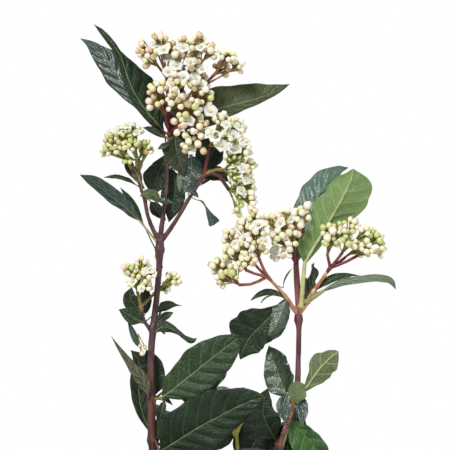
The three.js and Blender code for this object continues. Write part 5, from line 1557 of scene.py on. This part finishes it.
def make_pot():
    """The pot with its rounded edges, drilled through its floor."""
    skin = Skin()
    lathe(skin, pot_profile(), POT_SIDES, "clay")
    pot = skin.build("pot_shell", "pot", ["pot"])
    drills = []
    for x, y in around(DRAIN_HOLES["count"]):
        place = [DRAIN_HOLES["circle"] * x * MM, DRAIN_HOLES["circle"] * y * MM, 4 * MM]
        radius, depth = DRAIN_HOLES["radius"] * MM, 14 * MM
        bpy.ops.mesh.primitive_cylinder_add(vertices=32, radius=radius, depth=depth, location=place)
        drills.append(bpy.context.object)
        drills[-1].data.materials.append(MATERIALS["clay"])
        cut = pot.modifiers.new("drain", "BOOLEAN")
        cut.operation, cut.solver, cut.object = "DIFFERENCE", "EXACT", drills[-1]
    apply_modifiers(pot)
    for drill in drills:
        bpy.data.objects.remove(drill)


def lump(skin, draw, place, size, slot, flat):
    """A rough pebble-like crumb."""
    rings, sides = 4, 8
    spin = any_turn(draw)
    verts = [(0, 0, -1)]
    for r in range(1, rings + 1):
        rise = math.pi * r / (rings + 1)
        for x, y in around(sides, spin):
            reach = draw.uniform(0.75, 1.15)
            verts.append((math.sin(rise) * x * reach, math.sin(rise) * y * reach, -math.cos(rise) * reach))
    verts.append((0, 0, 1))
    tilt = [draw.uniform(-0.5, 0.5) for _ in range(2)]
    verts = np.array(verts) * size * [1, draw.uniform(0.6, 1), flat]
    verts[:, 2] += verts[:, 0] * tilt[0] * flat + verts[:, 1] * tilt[1] * flat
    skin.add(verts + place, capped_faces(rings, sides), slot)


def compost_height(x, y):
    """The height of the compost's rough surface, lower towards the pot's wall."""
    crown = COMPOST_TOP - 0.4 - 2.4 * max(0.0, (math.hypot(x, y) - 30) / 30) ** 2
    swell = 1.1 * noise.noise(Vector((x * 0.09, y * 0.09, 1)))
    grain = 0.6 * noise.noise(Vector((x * 0.3, y * 0.3, 4)))
    return crown + (swell + grain)


def make_compost():
    """Rough compost up to the pot's wall, with crumbs, bark chips and grains of perlite."""
    skin = Skin()
    rings, sides = COMPOST["rings"], COMPOST["sides"]
    verts = [(0, 0, compost_height(0, 0))]
    faces = fan(0, 1, sides)
    for r in range(1, rings + 1):
        radius = COMPOST["radius"] * r / rings
        verts += [(radius * x, radius * y, compost_height(radius * x, radius * y)) for x, y in around(sides)]
        faces += band(1 + (r - 1) * sides, 1 + r * sides, sides)
    base = len(verts)
    under = COMPOST["base_radius"]
    verts += [(under * x, under * y, COMPOST["base"]) for x, y in around(sides)]
    skin.add(verts, flipped(faces) + [tuple(reversed(range(base, base + sides)))], "soil")
    draw = random.Random(31)
    for _ in range(CRUMBS):
        turn, radius = any_turn(draw), COMPOST["crumb_reach"] * math.sqrt(draw.random())
        x, y = radius * math.cos(turn), radius * math.sin(turn)
        kind = draw.random()
        slot = next(name for share, name in CRUMB_KINDS if kind > share)
        sizes = {name: draw.uniform(*span) for name, span in CRUMB_SIZES.items()}
        size = sizes.get(slot, sizes["soil"])
        squash = 0.45 if slot == "chip" else 0.8
        lump(skin, draw, (x, y, compost_height(x, y) + size * 0.2), size, slot, squash)
    skin.build("compost_top", "compost", ["compost"], smooth=False)


set_camera()
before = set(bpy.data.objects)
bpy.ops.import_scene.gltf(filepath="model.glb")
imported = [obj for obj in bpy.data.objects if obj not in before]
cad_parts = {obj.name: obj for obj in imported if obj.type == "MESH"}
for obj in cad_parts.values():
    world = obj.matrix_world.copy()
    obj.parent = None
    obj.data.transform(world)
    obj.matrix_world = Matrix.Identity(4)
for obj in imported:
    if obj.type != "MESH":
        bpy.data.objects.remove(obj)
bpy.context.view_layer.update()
make_materials()
SHOOT_MASSES = shoot_masses(places_taken())
MASSES.update(SHOOT_MASSES)
set_lights()
make_floor()
make_wood()
make_leaves()
make_flower_heads()
make_pot()
make_compost()
